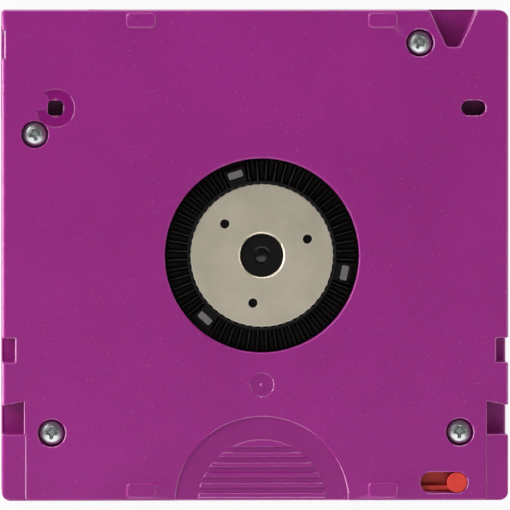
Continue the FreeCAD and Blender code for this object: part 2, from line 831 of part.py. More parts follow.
def top_shell_cuts():
    cuts = []
    pilot_low_z = face_z - counterbore_depth - screw_length - screw_tip_gap
    for x, y in screw_places:
        cuts.append(rod(x, y, screw_shank_r + screw_pilot_gap, pilot_low_z, top_shell_h + past))
    cuts.append(doorway())
    cuts.append(door_groove(face_wall - door_groove_depth, face_wall))
    cuts.append(label_area())
    for x, y in foot_places:
        cuts.append(pad(x, y, foot_w + 2 * foot_socket_gap, foot_d + 2 * foot_socket_gap, foot_corner_r,
                        -past, foot_h + foot_socket_more))
    arrow_y = front_y - arrow_in_front
    arrow = [(hub_x - arrow_l, arrow_y - arrow_l), (hub_x + arrow_l, arrow_y - arrow_l), (hub_x, arrow_y)]
    cuts.append(prism(arrow, -past, arrow_depth))
    cuts += edge_bevels(0, -1)
    cuts.append(seam(False))
    return cuts


def screw(x, y, degrees):
    """Pan-head self-tapping screw with a cross recess."""
    seat_z = face_z - counterbore_depth
    top_z = seat_z + screw_head_h
    tip_z = seat_z - screw_length
    profile = [(0, tip_z), (screw_shank_r, tip_z), (screw_shank_r, seat_z), (screw_head_r, seat_z),
               (screw_head_r, seat_z + screw_rim_h), (screw_crown_r, top_z), (0, top_z)]
    body = revolved(profile, x, y)
    low_z = top_z - recess_depth
    arms = []
    for quarter in range(2):
        outline = [(x - recess_arm, top_z + merge), (x - recess_floor_arm, low_z),
                   (x + recess_floor_arm, low_z), (x + recess_arm, top_z + merge)]
        arm = xz_prism(outline, y - recess_w / 2, y + recess_w / 2)
        arms.append(turned(arm, 90.0 * quarter, x, y))
    return turned(body.cut(arms), degrees, x, y)


# ---------------------------------------------------------------- door and leader

def access_door():
    spring_z = top_shell_h
    plate = slab(door_out_x, door_in_x, door_rear_y, door_front_y, door_low_z, door_high_z)
    lip_front_y = doorway_front_y - door_groove_gap
    lip = slab(door_out_x - finger_lip_out, door_out_x, lip_front_y - finger_lip_l, lip_front_y,
               tape_mid_z - finger_lip_h / 2, tape_mid_z + finger_lip_h / 2)
    pusher = slab(door_in_x, door_in_x + pusher_out, door_rear_y, door_rear_y + pusher_l,
                  spring_z - pusher_h / 2, spring_z + pusher_h / 2)
    return plate.fuse([lip, pusher]).removeSplitter()


def door_spring():
    spring = coil(door_spring_r, door_spring_wire, spring_stop_y + spring_end_gap,
                  door_rear_y - spring_end_gap, door_spring_turns)
    spring.rotate(Vector(0, 0, 0), Vector(1, 0, 0), -90)
    spring.translate(Vector(door_spring_x, 0, top_shell_h))
    return spring


def leader_pin():
    half = pin_half_length()
    collar = tape_width / 2 + pin_play
    upper = [(pin_r, collar), (pin_collar_r, collar), (pin_collar_r, collar + pin_collar_t),
             (pin_r, collar + pin_collar_t), (pin_r, half - pin_head_t), (pin_head_r, half - pin_head_t),
             (pin_head_r, half), (0, half)]
    lower = [(r, -z) for r, z in reversed(upper)]
    return revolved([(r, tape_mid_z + z) for r, z in lower + upper], pin_x, pin_y)


def leader_angle():
    """Direction from the pin to where the tape meets the wound pack."""
    away = Vector(pin_x - hub_x, pin_y - hub_y, 0)
    radius = tape_pack_r + leader_gap
    touch = math.atan2(away.y, away.x) - math.acos(radius / away.Length)
    target = Vector(hub_x + radius * math.cos(touch), hub_y + radius * math.sin(touch), 0)
    return target, math.degrees(math.atan2(target.y - pin_y, target.x - pin_x))


def leader_clamp():
    """C-shaped clip that holds the tape's end on the pin."""
    _, angle = leader_angle()
    z0 = tape_mid_z - tape_width / 2
    z1 = tape_mid_z + tape_width / 2
    clip = tube(pin_x, pin_y, clamp_r, pin_r + clamp_bore_gap, z0, z1)
    slit = slab(pin_x, pin_x + 2 * clamp_r, pin_y - clamp_slit / 2, pin_y + clamp_slit / 2, z0, z1)
    return clip.cut(turned(slit, angle, pin_x, pin_y))


def tape_leader():
    """Free span of tape from the pin to the pack."""
    target, angle = leader_angle()
    length = math.hypot(target.x - pin_x, target.y - pin_y)
    start = pin_r + clamp_bore_gap
    span = slab(pin_x + start, pin_x + length, pin_y - leader_t / 2, pin_y + leader_t / 2,
                tape_mid_z - tape_width / 2, tape_mid_z + tape_width / 2)
    return turned(span, angle, pin_x, pin_y)


def pin_keeper(z0):
    """Hairpin spring around its post; its two arms close in front of the pin's neck."""
    side = keeper_post_r + keeper_gap + keeper_t / 2
    nip_x = -(pin_r + keeper_nip)
    arm_x = nip_x + keeper_nip_in + side - pin_r
    arm = [(nip_x - keeper_tip_l, pin_r + keeper_tip_out), (nip_x, pin_r - keeper_nip_in), (arm_x, side)]
    bend = []
    for i in range(keeper_bend_sides + 1):
        around = math.pi / 2 - math.pi * i / keeper_bend_sides
        bend.append((keeper_post_out + side * math.cos(around), side * math.sin(around)))
    centre_line = arm + bend + [(x, -y) for x, y in reversed(arm)]
    keeper = prism(thickened(centre_line, keeper_t), z0, z0 + keeper_h)
    keeper.translate(Vector(pin_x, pin_y, 0))
    return keeper


def thickened(points, thickness):
    """Outline of a bent strip around its centre line, ends square, corners mitred."""
    upper = []
    lower = []
    for i, (x, y) in enumerate(points):
        before = Vector(x - points[i - 1][0], y - points[i - 1][1], 0) if i else None
        after = Vector(points[i + 1][0] - x, points[i + 1][1] - y, 0) if i + 1 < len(points) else None
        along = (before or after).normalize() + (after or before).normalize()
        along.normalize()
        spread = thickness / 2 / math.cos((before or after).getAngle(along))
        upper.append((x - along.y * spread, y + along.x * spread))
        lower.append((x + along.y * spread, y - along.x * spread))
    return lower + upper[::-1]


# ---------------------------------------------------------------- slider and memory

def write_protect_slider():
    plate = slab(slider_left_x, slider_right_x, slider_rear_y, slider_front_y,
                 slider_high_z - slider_t, slider_high_z)
    web_rear_y = rear_y + side_wall + slider_side_gap
    web_low_z = top_shell_h + slider_gap
    web_high_z = inner_z - slider_gap
    web = slab(slider_left_x, slider_right_x, web_rear_y, web_rear_y + slider_web_t, web_low_z, web_high_z)
    button = rod(button_x, slot_y, button_r, slider_high_z - slider_t, face_z - button_low)
    thumb_low_z = top_shell_h + (window_h - thumb_h) / 2
    thumb = slab(button_x - thumb_w / 2, button_x + thumb_w / 2, rear_y + thumb_in, web_rear_y,
                 thumb_low_z, thumb_low_z + thumb_h)
    groove_y = rear_y + thumb_in + thumb_groove_depth
    groove_xs = [button_x + s * thumb_w / 4 - thumb_groove_w / 2 for s in (-1, 0, 1)]
    grooves = [slab(x, x + thumb_groove_w, rear_y, groove_y, thumb_low_z - past, thumb_low_z + thumb_h + past)
               for x in groove_xs]
    return plate.fuse([web, button, thumb.cut(grooves)]).removeSplitter()


def tilted(shape, offset):
    """Moves a flat shape at the origin onto the gussets' slope, offset along its normal."""
    shape.rotate(Vector(0, 0, 0), Vector(1, 0, 0), 45)
    step = offset / math.sqrt(2)
    middle = gusset_leg / 2
    y = rear_y + side_wall + middle + step
    shape.translate(Vector(left_x + board_in_left, y, inner_z - middle - step))
    return shape


def memory_board():
    board = slab(-board_w / 2, board_w / 2, -board_l / 2, board_l / 2, -board_t / 2, board_t / 2)
    return tilted(board, board_seat_gap + board_t / 2)


def memory_chip():
    chip = slab(-chip_w / 2, chip_w / 2, -chip_w / 2, chip_w / 2, 0, chip_t)
    return tilted(chip, board_seat_gap)


# ---------------------------------------------------------------- reel

def clutch_tooth():
    """One radial tooth on the hub's outer face, pointing along +X from the hub's axis."""
    outlines = []
    for r in (tooth_r_in - merge, hub_opening_r - boss_gap - tooth_end_in):
        base = tooth_base * r / 2
        tip = tooth_tip * r / 2
        low_z = tooth_root_z - merge
        points = [Vector(hub_x + r, hub_y - base, low_z), Vector(hub_x + r, hub_y + base, low_z),
                  Vector(hub_x + r, hub_y + base, tooth_root_z), Vector(hub_x + r, hub_y + tip, tooth_tip_z),
                  Vector(hub_x + r, hub_y - tip, tooth_tip_z), Vector(hub_x + r, hub_y - base, tooth_root_z)]
        outlines.append(Part.makePolygon(points + [points[0]]))
    return Part.makeLoft(outlines, True, True)


def clutch_teeth():
    pitch = 360.0 / tooth_positions
    tooth = clutch_tooth()
    teeth = []
    for i in range(tooth_positions):
        angle = window_angle + pitch * (i + 0.5)
        gaps = [abs((angle - w + 180) % 360 - 180) for w in window_angles]
        if min(gaps) > window_half:
            teeth.append(turned(tooth, angle, hub_x, hub_y))
    return teeth


def lock_tooth(low_z, high_z, base, tip):
    """Straight locking tooth between two heights, its base width at low_z and its tip width at high_z."""
    outlines = [Vector(hub_x + brake_tooth_r_in, hub_y + y, z)
                for y, z in ((-base / 2, low_z), (base / 2, low_z), (tip / 2, high_z), (-tip / 2, high_z))]
    return Part.Face(Part.makePolygon(outlines + [outlines[0]])).extrude(Vector(brake_tooth_l, 0, 0))


def hub_lock():
    """Three blocks of locking teeth on the hub floor, between the release plate's arms."""
    pitch = 360.0 / brake_teeth
    r_in = brake_tooth_r_in - brake_rim
    r_out = brake_tooth_r_in + brake_tooth_l + brake_rim
    tooth = lock_tooth(lock_base_z + merge, lock_tip_z, brake_tooth_base, brake_tooth_tip)
    pieces = []
    for window in window_angles:
        middle = window + 180.0 / window_count
        pieces.append(sector(hub_x, hub_y, r_in, r_out, middle, lock_block_half,
                             lock_base_z, hub_floor_z + merge))
        first = round((middle - window_angle - lock_block_half) / pitch)
        last = round((middle - window_angle + lock_block_half) / pitch)
        for i in range(first, last):
            pieces.append(turned(tooth, window_angle + pitch * (i + 0.5), hub_x, hub_y))
    return pieces


def reel_hub():
    """Hub, hub-side flange and clutch, moulded as one piece."""
    boss_r = hub_opening_r - boss_gap
    spigot_z = flange_low_z + spigot_in
    ring_z = tooth_tip_z + plate_ring_high
    profile = [(0, hub_floor_z), (hub_r - hub_wall, hub_floor_z), (hub_r - hub_wall, spigot_z),
               (hub_r - hub_wall / 2, spigot_z), (hub_r - hub_wall / 2, tape_low_z), (hub_r, tape_low_z),
               (hub_r, tape_high_z), (flange_r, tape_high_z), (flange_r, flange_top_z),
               (boss_r, flange_top_z), (boss_r, tooth_root_z), (tooth_r_in, tooth_root_z),
               (tooth_r_in, ring_z), (plate_r + plate_gap, ring_z),
               (plate_r + plate_gap, plate_seat_z), (0, plate_seat_z)]
    hub = revolved(profile, hub_x, hub_y)
    frames = [sector(hub_x, hub_y, tooth_r_in - merge, window_frame_r, w, window_half, tooth_root_z - merge,
                     tooth_tip_z - window_frame_low) for w in window_angles]
    hub = hub.fuse(clutch_teeth() + frames + hub_lock())
    cuts = []
    for w in window_angles:
        hole = peg(hub_x + leg_at, hub_y, leg_d + 2 * leg_gap, leg_w + 2 * leg_gap, leg_corner,
                   hub_floor_z - past, face_z, 0)
        cuts.append(turned(hole, w, hub_x, hub_y))
        cuts.append(sector(hub_x, hub_y, window_frame_r, hub_opening_r, w, window_notch_half,
                           tooth_root_z - window_notch_depth, face_z))
    cuts.append(tube(hub_x, hub_y, gate_ring_r, gate_ring_r - gate_ring_w, plate_seat_z - gate_ring_depth,
                     plate_seat_z + past))
    return hub.cut(cuts)


def reel_flange():
    """Separate flange, welded over the hub's spigot."""
    return tube(hub_x, hub_y, flange_r, hub_r - hub_wall / 2 + spigot_gap, flange_low_z, tape_low_z)


def tape_pack():
    z0 = tape_mid_z - tape_width / 2
    return tube(hub_x, hub_y, tape_pack_r, hub_r, z0, z0 + tape_width)


def clutch_plate():
    """Steel disc that the drive's magnet pulls on, with a scalloped rim."""
    z0 = plate_seat_z
    z1 = z0 + plate_t
    half_pitch = math.pi / tooth_positions
    rim = []
    for i in range(2 * tooth_positions):
        r = plate_r if i % 2 == 0 else plate_r - scallop_depth
        angle = math.radians(window_angle) + half_pitch * i
        rim.append((hub_x + r * math.cos(angle), hub_y + r * math.sin(angle)))
    disc = prism(rim, z0, z1)
    rim_r = plate_bore_r + plate_bore_chamfer
    cuts = [rod(hub_x, hub_y, plate_bore_r, z0, z1),
            cone_rim(hub_x, hub_y, plate_bore_r, rim_r, z1 - plate_bore_chamfer, z1)]
    for i in range(window_count):
        hole = rod(hub_x + plate_hole_at, hub_y, plate_hole_r, z0, z1)
        cuts.append(turned(hole, plate_hole_angle + 360.0 / window_count * i, hub_x, hub_y))
    return disc.cut(cuts)


def release_plate():
    """Three-armed plate whose legs come out through the clutch."""
    top_z = tooth_tip_z - leg_below_tips
    plate = rod(hub_x, hub_y, release_disc_r, release_low_z, release_high_z)
    pieces = []
    for w in window_angles:
        arm = slab(hub_x, hub_x + leg_at + leg_d / 2, hub_y - arm_w / 2, hub_y + arm_w / 2,
                   release_low_z, release_high_z)
        crown_z = top_z - leg_crown_h
        shaft = peg(hub_x + leg_at, hub_y, leg_d, leg_w, leg_corner, release_high_z - merge, crown_z, 0)
        tip = peg(hub_x + leg_at, hub_y, leg_d, leg_w, leg_corner, crown_z, top_z, leg_crown_in)
        pieces += [turned(s, w, hub_x, hub_y) for s in (arm, shaft, tip)]
    return plate.fuse(pieces).removeSplitter()


def brake_button():
    """Toothed brake disc on a stem with a key slot."""
    r_out = brake_tooth_r_in + brake_tooth_l + brake_rim
    nose_z = release_low_z - release_gap
    profile = [(0, stem_low_z), (brake_stem_r, stem_low_z), (brake_stem_r, brake_low_z), (r_out, brake_low_z),
               (r_out, brake_base_z), (brake_nose_r, brake_base_z), (brake_nose_r, nose_z), (0, nose_z)]
    brake = revolved(profile, hub_x, hub_y)
    tooth = lock_tooth(brake_base_z - merge, brake_tip_z, brake_tooth_base, brake_tooth_tip)
    pitch = 360.0 / brake_teeth
    brake = brake.fuse([turned(tooth, window_angle + pitch * i, hub_x, hub_y) for i in range(brake_teeth)])
    slot = slab(hub_x - key_l / 2 - key_gap, hub_x + key_l / 2 + key_gap, hub_y - key_t / 2 - key_gap,
                hub_y + key_t / 2 + key_gap, stem_low_z - past, brake_low_z - key_slot_roof)
    return brake.cut(slot)


def brake_spring():
    spring = coil(brake_spring_r, brake_spring_wire, face_wall + brake_spring_end_gap,
                  brake_low_z - brake_spring_end_gap, brake_spring_turns)
    spring.translate(Vector(hub_x, hub_y, 0))
    return spring


# ---------------------------------------------------------------- parts

def all_parts():
    keeper_out = tape_width / 2 + pin_play + pin_collar_t + (pin_neck_l - keeper_h) / 2
    parts = {
        "bottom_shell": hub_side_shell(),
        "top_shell": top_shell(),
        "access_door": access_door(),
        "door_spring": door_spring(),
        "leader_pin": leader_pin(),
        "leader_clamp": leader_clamp(),
        "tape_leader": tape_leader(),
        "pin_keeper_hub_side": pin_keeper(tape_mid_z + keeper_out),
        "pin_keeper_top_side": pin_keeper(tape_mid_z - keeper_out - keeper_h),
        "write_protect_slider": write_protect_slider(),
        "memory_board": memory_board(),
        "memory_chip": memory_chip(),
        "reel_hub": reel_hub(),
        "reel_flange": reel_flange(),
        "tape_pack": tape_pack(),
        "clutch_plate": clutch_plate(),
        "release_plate": release_plate(),
        "brake_button": brake_button(),
        "brake_spring": brake_spring(),
    }
    for name, (x, y), degrees in zip(screw_names, screw_places, screw_turns):
        parts[name] = screw(x, y, degrees)
    return parts


os.makedirs("parts", exist_ok=True)
for node, shape in all_parts().items():
    shape.exportStep("parts/" + node + ".step")
    print(node, len(shape.Solids), shape.isValid(), round(shape.Volume, 1))
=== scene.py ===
"""Looks of a half-inch data tape cartridge that lies on its top cover, hub side up.

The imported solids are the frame. This script gives them rounded edges and finishes, and adds the
screws' cross recesses, the round-wire springs, the studio and the camera.
"""

import json
import logging
import math
from dataclasses import dataclass, field, replace
from enum import Enum
from typing import Callable, Iterable

import bmesh
import bpy
from mathutils import Matrix, Vector
from mathutils.bvhtree import BVHTree


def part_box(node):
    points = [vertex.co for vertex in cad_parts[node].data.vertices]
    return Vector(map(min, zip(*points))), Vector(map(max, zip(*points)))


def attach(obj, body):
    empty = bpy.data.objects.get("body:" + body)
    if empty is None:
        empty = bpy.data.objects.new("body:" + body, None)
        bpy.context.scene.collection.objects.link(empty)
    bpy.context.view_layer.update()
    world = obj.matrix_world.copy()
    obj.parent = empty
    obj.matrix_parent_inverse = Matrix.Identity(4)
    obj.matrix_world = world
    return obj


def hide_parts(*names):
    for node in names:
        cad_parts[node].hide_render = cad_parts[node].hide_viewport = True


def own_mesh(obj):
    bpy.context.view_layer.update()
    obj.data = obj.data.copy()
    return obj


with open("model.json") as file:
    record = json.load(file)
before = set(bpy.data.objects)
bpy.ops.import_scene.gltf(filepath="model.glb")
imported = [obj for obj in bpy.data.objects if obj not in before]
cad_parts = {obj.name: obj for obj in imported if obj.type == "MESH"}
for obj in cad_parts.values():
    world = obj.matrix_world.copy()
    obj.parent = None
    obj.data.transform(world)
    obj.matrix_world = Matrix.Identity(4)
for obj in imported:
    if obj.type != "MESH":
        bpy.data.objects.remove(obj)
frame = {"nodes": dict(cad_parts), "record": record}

LOG = logging.getLogger("cartridge")
MM = 0.001
LEVEL = 0.98           # how straight a unit vector lies along an axis before it counts as along it
WELD = MM * 1e-4       # vertices closer than this are one
FLAT_DEGREES = 0.3     # faces that differ by less are one flat face
Colour = tuple[float, float, float, float]
Point = tuple[float, float, float]


# ---------------------------------------------------------------- colours and nodes

def linear(hex_colour: str) -> Colour:
    """Turns an sRGB hex colour into linear RGBA.

    Args:
        hex_colour: Six hex digits after a hash, such as "#8a2f7c".

    Returns:
        Linear red, green and blue from 0 to 1, and an alpha of 1.
    """
    channels = [int(hex_colour[i:i + 2], 16) / 255 for i in (1, 3, 5)]
    r, g, b = (c / 12.92 if c <= 0.04045 else ((c + 0.055) / 1.055) ** 2.4 for c in channels)
    return (r, g, b, 1.0)


def per_mm(size_mm: float) -> float:
    """Texture scale whose pattern repeats about every size_mm millimetres."""
    return 1.0 / (size_mm * MM)


def add_node(tree: bpy.types.NodeTree, kind: str, inputs: dict, **settings) -> bpy.types.Node:
    """Adds one node to a material.

    Args:
        tree: The node tree.
        kind: Blender's name of the node type.
        inputs: Value or source socket for each input, by its name or number.
        **settings: Properties of the node itself.

    Returns:
        The new node.
    """
    node = tree.nodes.new(kind)
    for name, value in settings.items():
        setattr(node, name, value)
    for key, value in inputs.items():
        if isinstance(value, bpy.types.NodeSocket):
            tree.links.new(value, node.inputs[key])
        else:
            node.inputs[key].default_value = value
    return node


def empty_material(name: str) -> tuple[bpy.types.Material, bpy.types.NodeTree]:
    """Makes a material whose node tree is empty.

    Args:
        name: The material's name.

    Returns:
        The material and its node tree.
    """
    material = bpy.data.materials.new(name)
    material.use_nodes = True
    material.node_tree.nodes.clear()
    return material, material.node_tree


def stops(node: bpy.types.Node, places: Iterable[tuple[float, Colour]]) -> None:
    """Sets the stops of a colour ramp.

    Args:
        node: The ramp node.
        places: Position and colour of each stop, in order.
    """
    ramp = node.color_ramp
    wanted = list(places)
    while len(ramp.elements) < len(wanted):
        ramp.elements.new(1.0)
    for element, (position, colour) in zip(ramp.elements, wanted):
        element.position = position
        element.color = colour


GREY_LOW: Colour = (0.0, 0.0, 0.0, 1.0)
GREY_HIGH: Colour = (1.0, 1.0, 1.0, 1.0)


class MouldTexture(Enum):
    """How the mould that formed a plastic face was finished."""

    SPARK_ERODED = "spark_eroded"
    POLISHED = "polished"


# ---------------------------------------------------------------- finishes

@dataclass(frozen=True)
class MouldedPolycarbonate:
    """Purple polycarbonate of the case, injection moulded.

    A spark-eroded mould leaves a fine even grain that breaks up the light, with a soft sheen on
    rounded edges. A polished insert leaves the same plastic smoother and deeper in colour. The grain
    is drawn coarser than a real one so that it shows. Sparse pale specks lie scattered over the face.
    """

    name: str
    texture: MouldTexture
    colour: str = "#931f7e"
    shade: str = "#8f1e7b"
    glow: str = "#972182"
    speck: str = "#c088b4"
    roughness: float = 0.28
    grain_mm: float = 0.42
    grain_depth_mm: float = 0.030
    peel_mm: float = 1.6
    peel_depth_mm: float = 0.020
    cloud_mm: float = 26.0
    speck_mm: float = 0.95
    speck_rarity: float = 0.66
    speck_reach: float = 0.12
    speck_strength: float = 0.5
    mottle: float = 0.10

    def build(self) -> bpy.types.Material:
        """Makes the material.

        Returns:
            The material.
        """
        material, tree = empty_material(self.name)
        place = add_node(tree, "ShaderNodeTexCoord", {}).outputs["Object"]
        cloud = add_node(tree, "ShaderNodeTexNoise", {
            "Vector": place, "Scale": per_mm(self.cloud_mm), "Detail": 3.0, "Roughness": 0.6})
        tone = add_node(tree, "ShaderNodeValToRGB", {"Fac": cloud.outputs["Fac"]})
        stops(tone, [(0.30, linear(self.shade)), (0.50, linear(self.colour)), (0.72, linear(self.glow))])
        peel = add_node(tree, "ShaderNodeTexNoise", {
            "Vector": place, "Scale": per_mm(self.peel_mm), "Detail": 2.0})
        mottle = add_node(tree, "ShaderNodeMix", {
            0: self.mottle, 6: tone.outputs["Color"], 7: peel.outputs["Color"]},
            data_type="RGBA", blend_type="SOFT_LIGHT")
        dots = add_node(tree, "ShaderNodeTexVoronoi", {
            "Vector": place, "Scale": per_mm(self.speck_mm), "Randomness": 1.0})
        rare = add_node(tree, "ShaderNodeMath", {
            0: dots.outputs["Color"], 1: self.speck_rarity}, operation="GREATER_THAN")
        near = add_node(tree, "ShaderNodeMath", {
            0: dots.outputs["Distance"], 1: self.speck_reach}, operation="LESS_THAN")
        both = add_node(tree, "ShaderNodeMath", {
            0: rare.outputs[0], 1: near.outputs[0]}, operation="MULTIPLY")
        faint = add_node(tree, "ShaderNodeMath", {
            0: both.outputs[0], 1: self.speck_strength}, operation="MULTIPLY")
        colour = add_node(tree, "ShaderNodeMix", {
            0: faint.outputs[0], 6: mottle.outputs[2], 7: linear(self.speck)}, data_type="RGBA")
        grain = add_node(tree, "ShaderNodeTexNoise", {
            "Vector": place, "Scale": per_mm(self.grain_mm), "Detail": 2.0})
        coarse = add_node(tree, "ShaderNodeBump", {
            "Height": peel.outputs["Fac"], "Distance": self.peel_depth_mm * MM, "Strength": 1.0})
        grain_depth_mm = self.grain_depth_mm if self.texture is MouldTexture.SPARK_ERODED else 0.0
        fine = add_node(tree, "ShaderNodeBump", {
            "Height": grain.outputs["Fac"], "Distance": grain_depth_mm * MM,
            "Strength": 1.0, "Normal": coarse.outputs["Normal"]})
        surface = add_node(tree, "ShaderNodeBsdfPrincipled", {
            "Base Color": colour.outputs[2], "Roughness": self.roughness, "IOR": 1.5,
            "Normal": fine.outputs["Normal"]})
        add_node(tree, "ShaderNodeOutputMaterial", {"Surface": surface.outputs["BSDF"]})
        return material


@dataclass(frozen=True)
class MouldedPlastic:
    """Plain injection-moulded plastic, such as acetal or ABS.

    Smooth skin with a faint orange peel, so highlights are soft-edged and slightly uneven.
    """

    name: str
    colour: str
    shade: str
    roughness: float = 0.38
    ior: float = 1.5
    peel_mm: float = 0.9
    peel_depth_mm: float = 0.004
    grain_mm: float = 0.15
    grain_depth_mm: float = 0.0

    def build(self) -> bpy.types.Material:
        """Makes the material.

        Returns:
            The material.
        """
        material, tree = empty_material(self.name)
        place = add_node(tree, "ShaderNodeTexCoord", {}).outputs["Object"]
        peel = add_node(tree, "ShaderNodeTexNoise", {
            "Vector": place, "Scale": per_mm(self.peel_mm), "Detail": 3.0})
        tone = add_node(tree, "ShaderNodeValToRGB", {"Fac": peel.outputs["Fac"]})
        stops(tone, [(0.35, linear(self.shade)), (0.62, linear(self.colour))])
        coarse = add_node(tree, "ShaderNodeBump", {
            "Height": peel.outputs["Fac"], "Distance": self.peel_depth_mm * MM, "Strength": 1.0})
        grain = add_node(tree, "ShaderNodeTexNoise", {
            "Vector": place, "Scale": per_mm(self.grain_mm), "Detail": 2.0})
        fine = add_node(tree, "ShaderNodeBump", {
            "Height": grain.outputs["Fac"], "Distance": self.grain_depth_mm * MM, "Strength": 1.0,
            "Normal": coarse.outputs["Normal"]})
        gloss = add_node(tree, "ShaderNodeMapRange", {
            "Value": peel.outputs["Fac"], "To Min": self.roughness - 0.05, "To Max": self.roughness + 0.05})
        surface = add_node(tree, "ShaderNodeBsdfPrincipled", {
            "Base Color": tone.outputs["Color"], "Roughness": gloss.outputs["Result"], "IOR": self.ior,
            "Normal": fine.outputs["Normal"]})
        add_node(tree, "ShaderNodeOutputMaterial", {"Surface": surface.outputs["BSDF"]})
        return material


@dataclass(frozen=True)
class Metal:
    """Bare or plated metal.

    Rolled, ground or drawn faces spread the light a little, more in one patch than in the next.
    """

    name: str
    colour: str
    shade: str
    roughness: float = 0.30
    cloud_mm: float = 6.0
    grain_mm: float = 0.12
    grain_depth_mm: float = 0.002

    def build(self) -> bpy.types.Material:
        """Makes the material.

        Returns:
            The material.
        """
        material, tree = empty_material(self.name)
        place = add_node(tree, "ShaderNodeTexCoord", {}).outputs["Object"]
        cloud = add_node(tree, "ShaderNodeTexNoise", {
            "Vector": place, "Scale": per_mm(self.cloud_mm), "Detail": 4.0, "Roughness": 0.6})
        tone = add_node(tree, "ShaderNodeValToRGB", {"Fac": cloud.outputs["Fac"]})
        stops(tone, [(0.35, linear(self.shade)), (0.65, linear(self.colour))])
        grain = add_node(tree, "ShaderNodeTexNoise", {
            "Vector": place, "Scale": per_mm(self.grain_mm), "Detail": 3.0})
        bump = add_node(tree, "ShaderNodeBump", {
            "Height": grain.outputs["Fac"], "Distance": self.grain_depth_mm * MM, "Strength": 1.0})
        gloss = add_node(tree, "ShaderNodeMapRange", {
            "Value": cloud.outputs["Fac"], "To Min": self.roughness - 0.04, "To Max": self.roughness + 0.04})
        surface = add_node(tree, "ShaderNodeBsdfPrincipled", {
            "Base Color": tone.outputs["Color"], "Roughness": gloss.outputs["Result"], "Metallic": 1.0,
            "Normal": bump.outputs["Normal"]})
        add_node(tree, "ShaderNodeOutputMaterial", {"Surface": surface.outputs["BSDF"]})
        return material


@dataclass(frozen=True)
class WoundTape:
    """Coated polyester tape, seen on the edges of its turns and on its shiny face.

    The wound edges give fine rings. They are drawn far coarser than the real turns so that they show.
    """

    name: str
    centre: Point
    colour: str = "#2a1e1a"
    shade: str = "#191210"
    ring_mm: float = 0.35
    roughness: float = 0.28

    def build(self) -> bpy.types.Material:
        """Makes the material.

        Returns:
            The material.
        """
        material, tree = empty_material(self.name)
        place = add_node(tree, "ShaderNodeTexCoord", {}).outputs["Object"]
        offset = add_node(tree, "ShaderNodeVectorMath", {0: place, 1: self.centre}, operation="SUBTRACT")
        flat = add_node(tree, "ShaderNodeVectorMath", {
            0: offset.outputs["Vector"], 1: (1.0, 1.0, 0.0)}, operation="MULTIPLY")
        radius = add_node(tree, "ShaderNodeVectorMath", {0: flat.outputs["Vector"]}, operation="LENGTH")
        rings = add_node(tree, "ShaderNodeTexNoise", {
            "W": radius.outputs["Value"], "Scale": per_mm(self.ring_mm), "Detail": 2.0},
            noise_dimensions="1D")
        tone = add_node(tree, "ShaderNodeValToRGB", {"Fac": rings.outputs["Fac"]})
        stops(tone, [(0.35, linear(self.shade)), (0.65, linear(self.colour))])
        surface = add_node(tree, "ShaderNodeBsdfPrincipled", {
            "Base Color": tone.outputs["Color"], "Roughness": self.roughness, "IOR": 1.6})
        add_node(tree, "ShaderNodeOutputMaterial", {"Surface": surface.outputs["BSDF"]})
        return material


@dataclass(frozen=True)
class WhiteSweep:
    """Matt white studio floor, which the camera sees as white with the object's soft shadow."""

    name: str = "matt_white_sweep"
    colour: str = "#f4f2f5"
    camera_white: float = 0.88

    def build(self) -> bpy.types.Material:
        """Makes the material.

        Returns:
            The material.
        """
        material, tree = empty_material(self.name)
        path = add_node(tree, "ShaderNodeLightPath", {})
        seen = add_node(tree, "ShaderNodeMath", {
            0: path.outputs["Is Camera Ray"], 1: path.outputs["Is Glossy Ray"]}, operation="MAXIMUM")
        clear = add_node(tree, "ShaderNodeMath", {
            0: seen.outputs[0], 1: path.outputs["Is Transmission Ray"]}, operation="MAXIMUM")
        share = add_node(tree, "ShaderNodeMath", {
            0: clear.outputs[0], 1: self.camera_white}, operation="MULTIPLY")
        matt = add_node(tree, "ShaderNodeBsdfDiffuse", {"Color": linear(self.colour)})
        white = add_node(tree, "ShaderNodeEmission", {"Color": GREY_HIGH, "Strength": 1.0})
        mixed = add_node(tree, "ShaderNodeMixShader", {
            0: share.outputs[0], 1: matt.outputs["BSDF"], 2: white.outputs["Emission"]})
        add_node(tree, "ShaderNodeOutputMaterial", {"Surface": mixed.outputs["Shader"]})
        return material


# ---------------------------------------------------------------- meshes

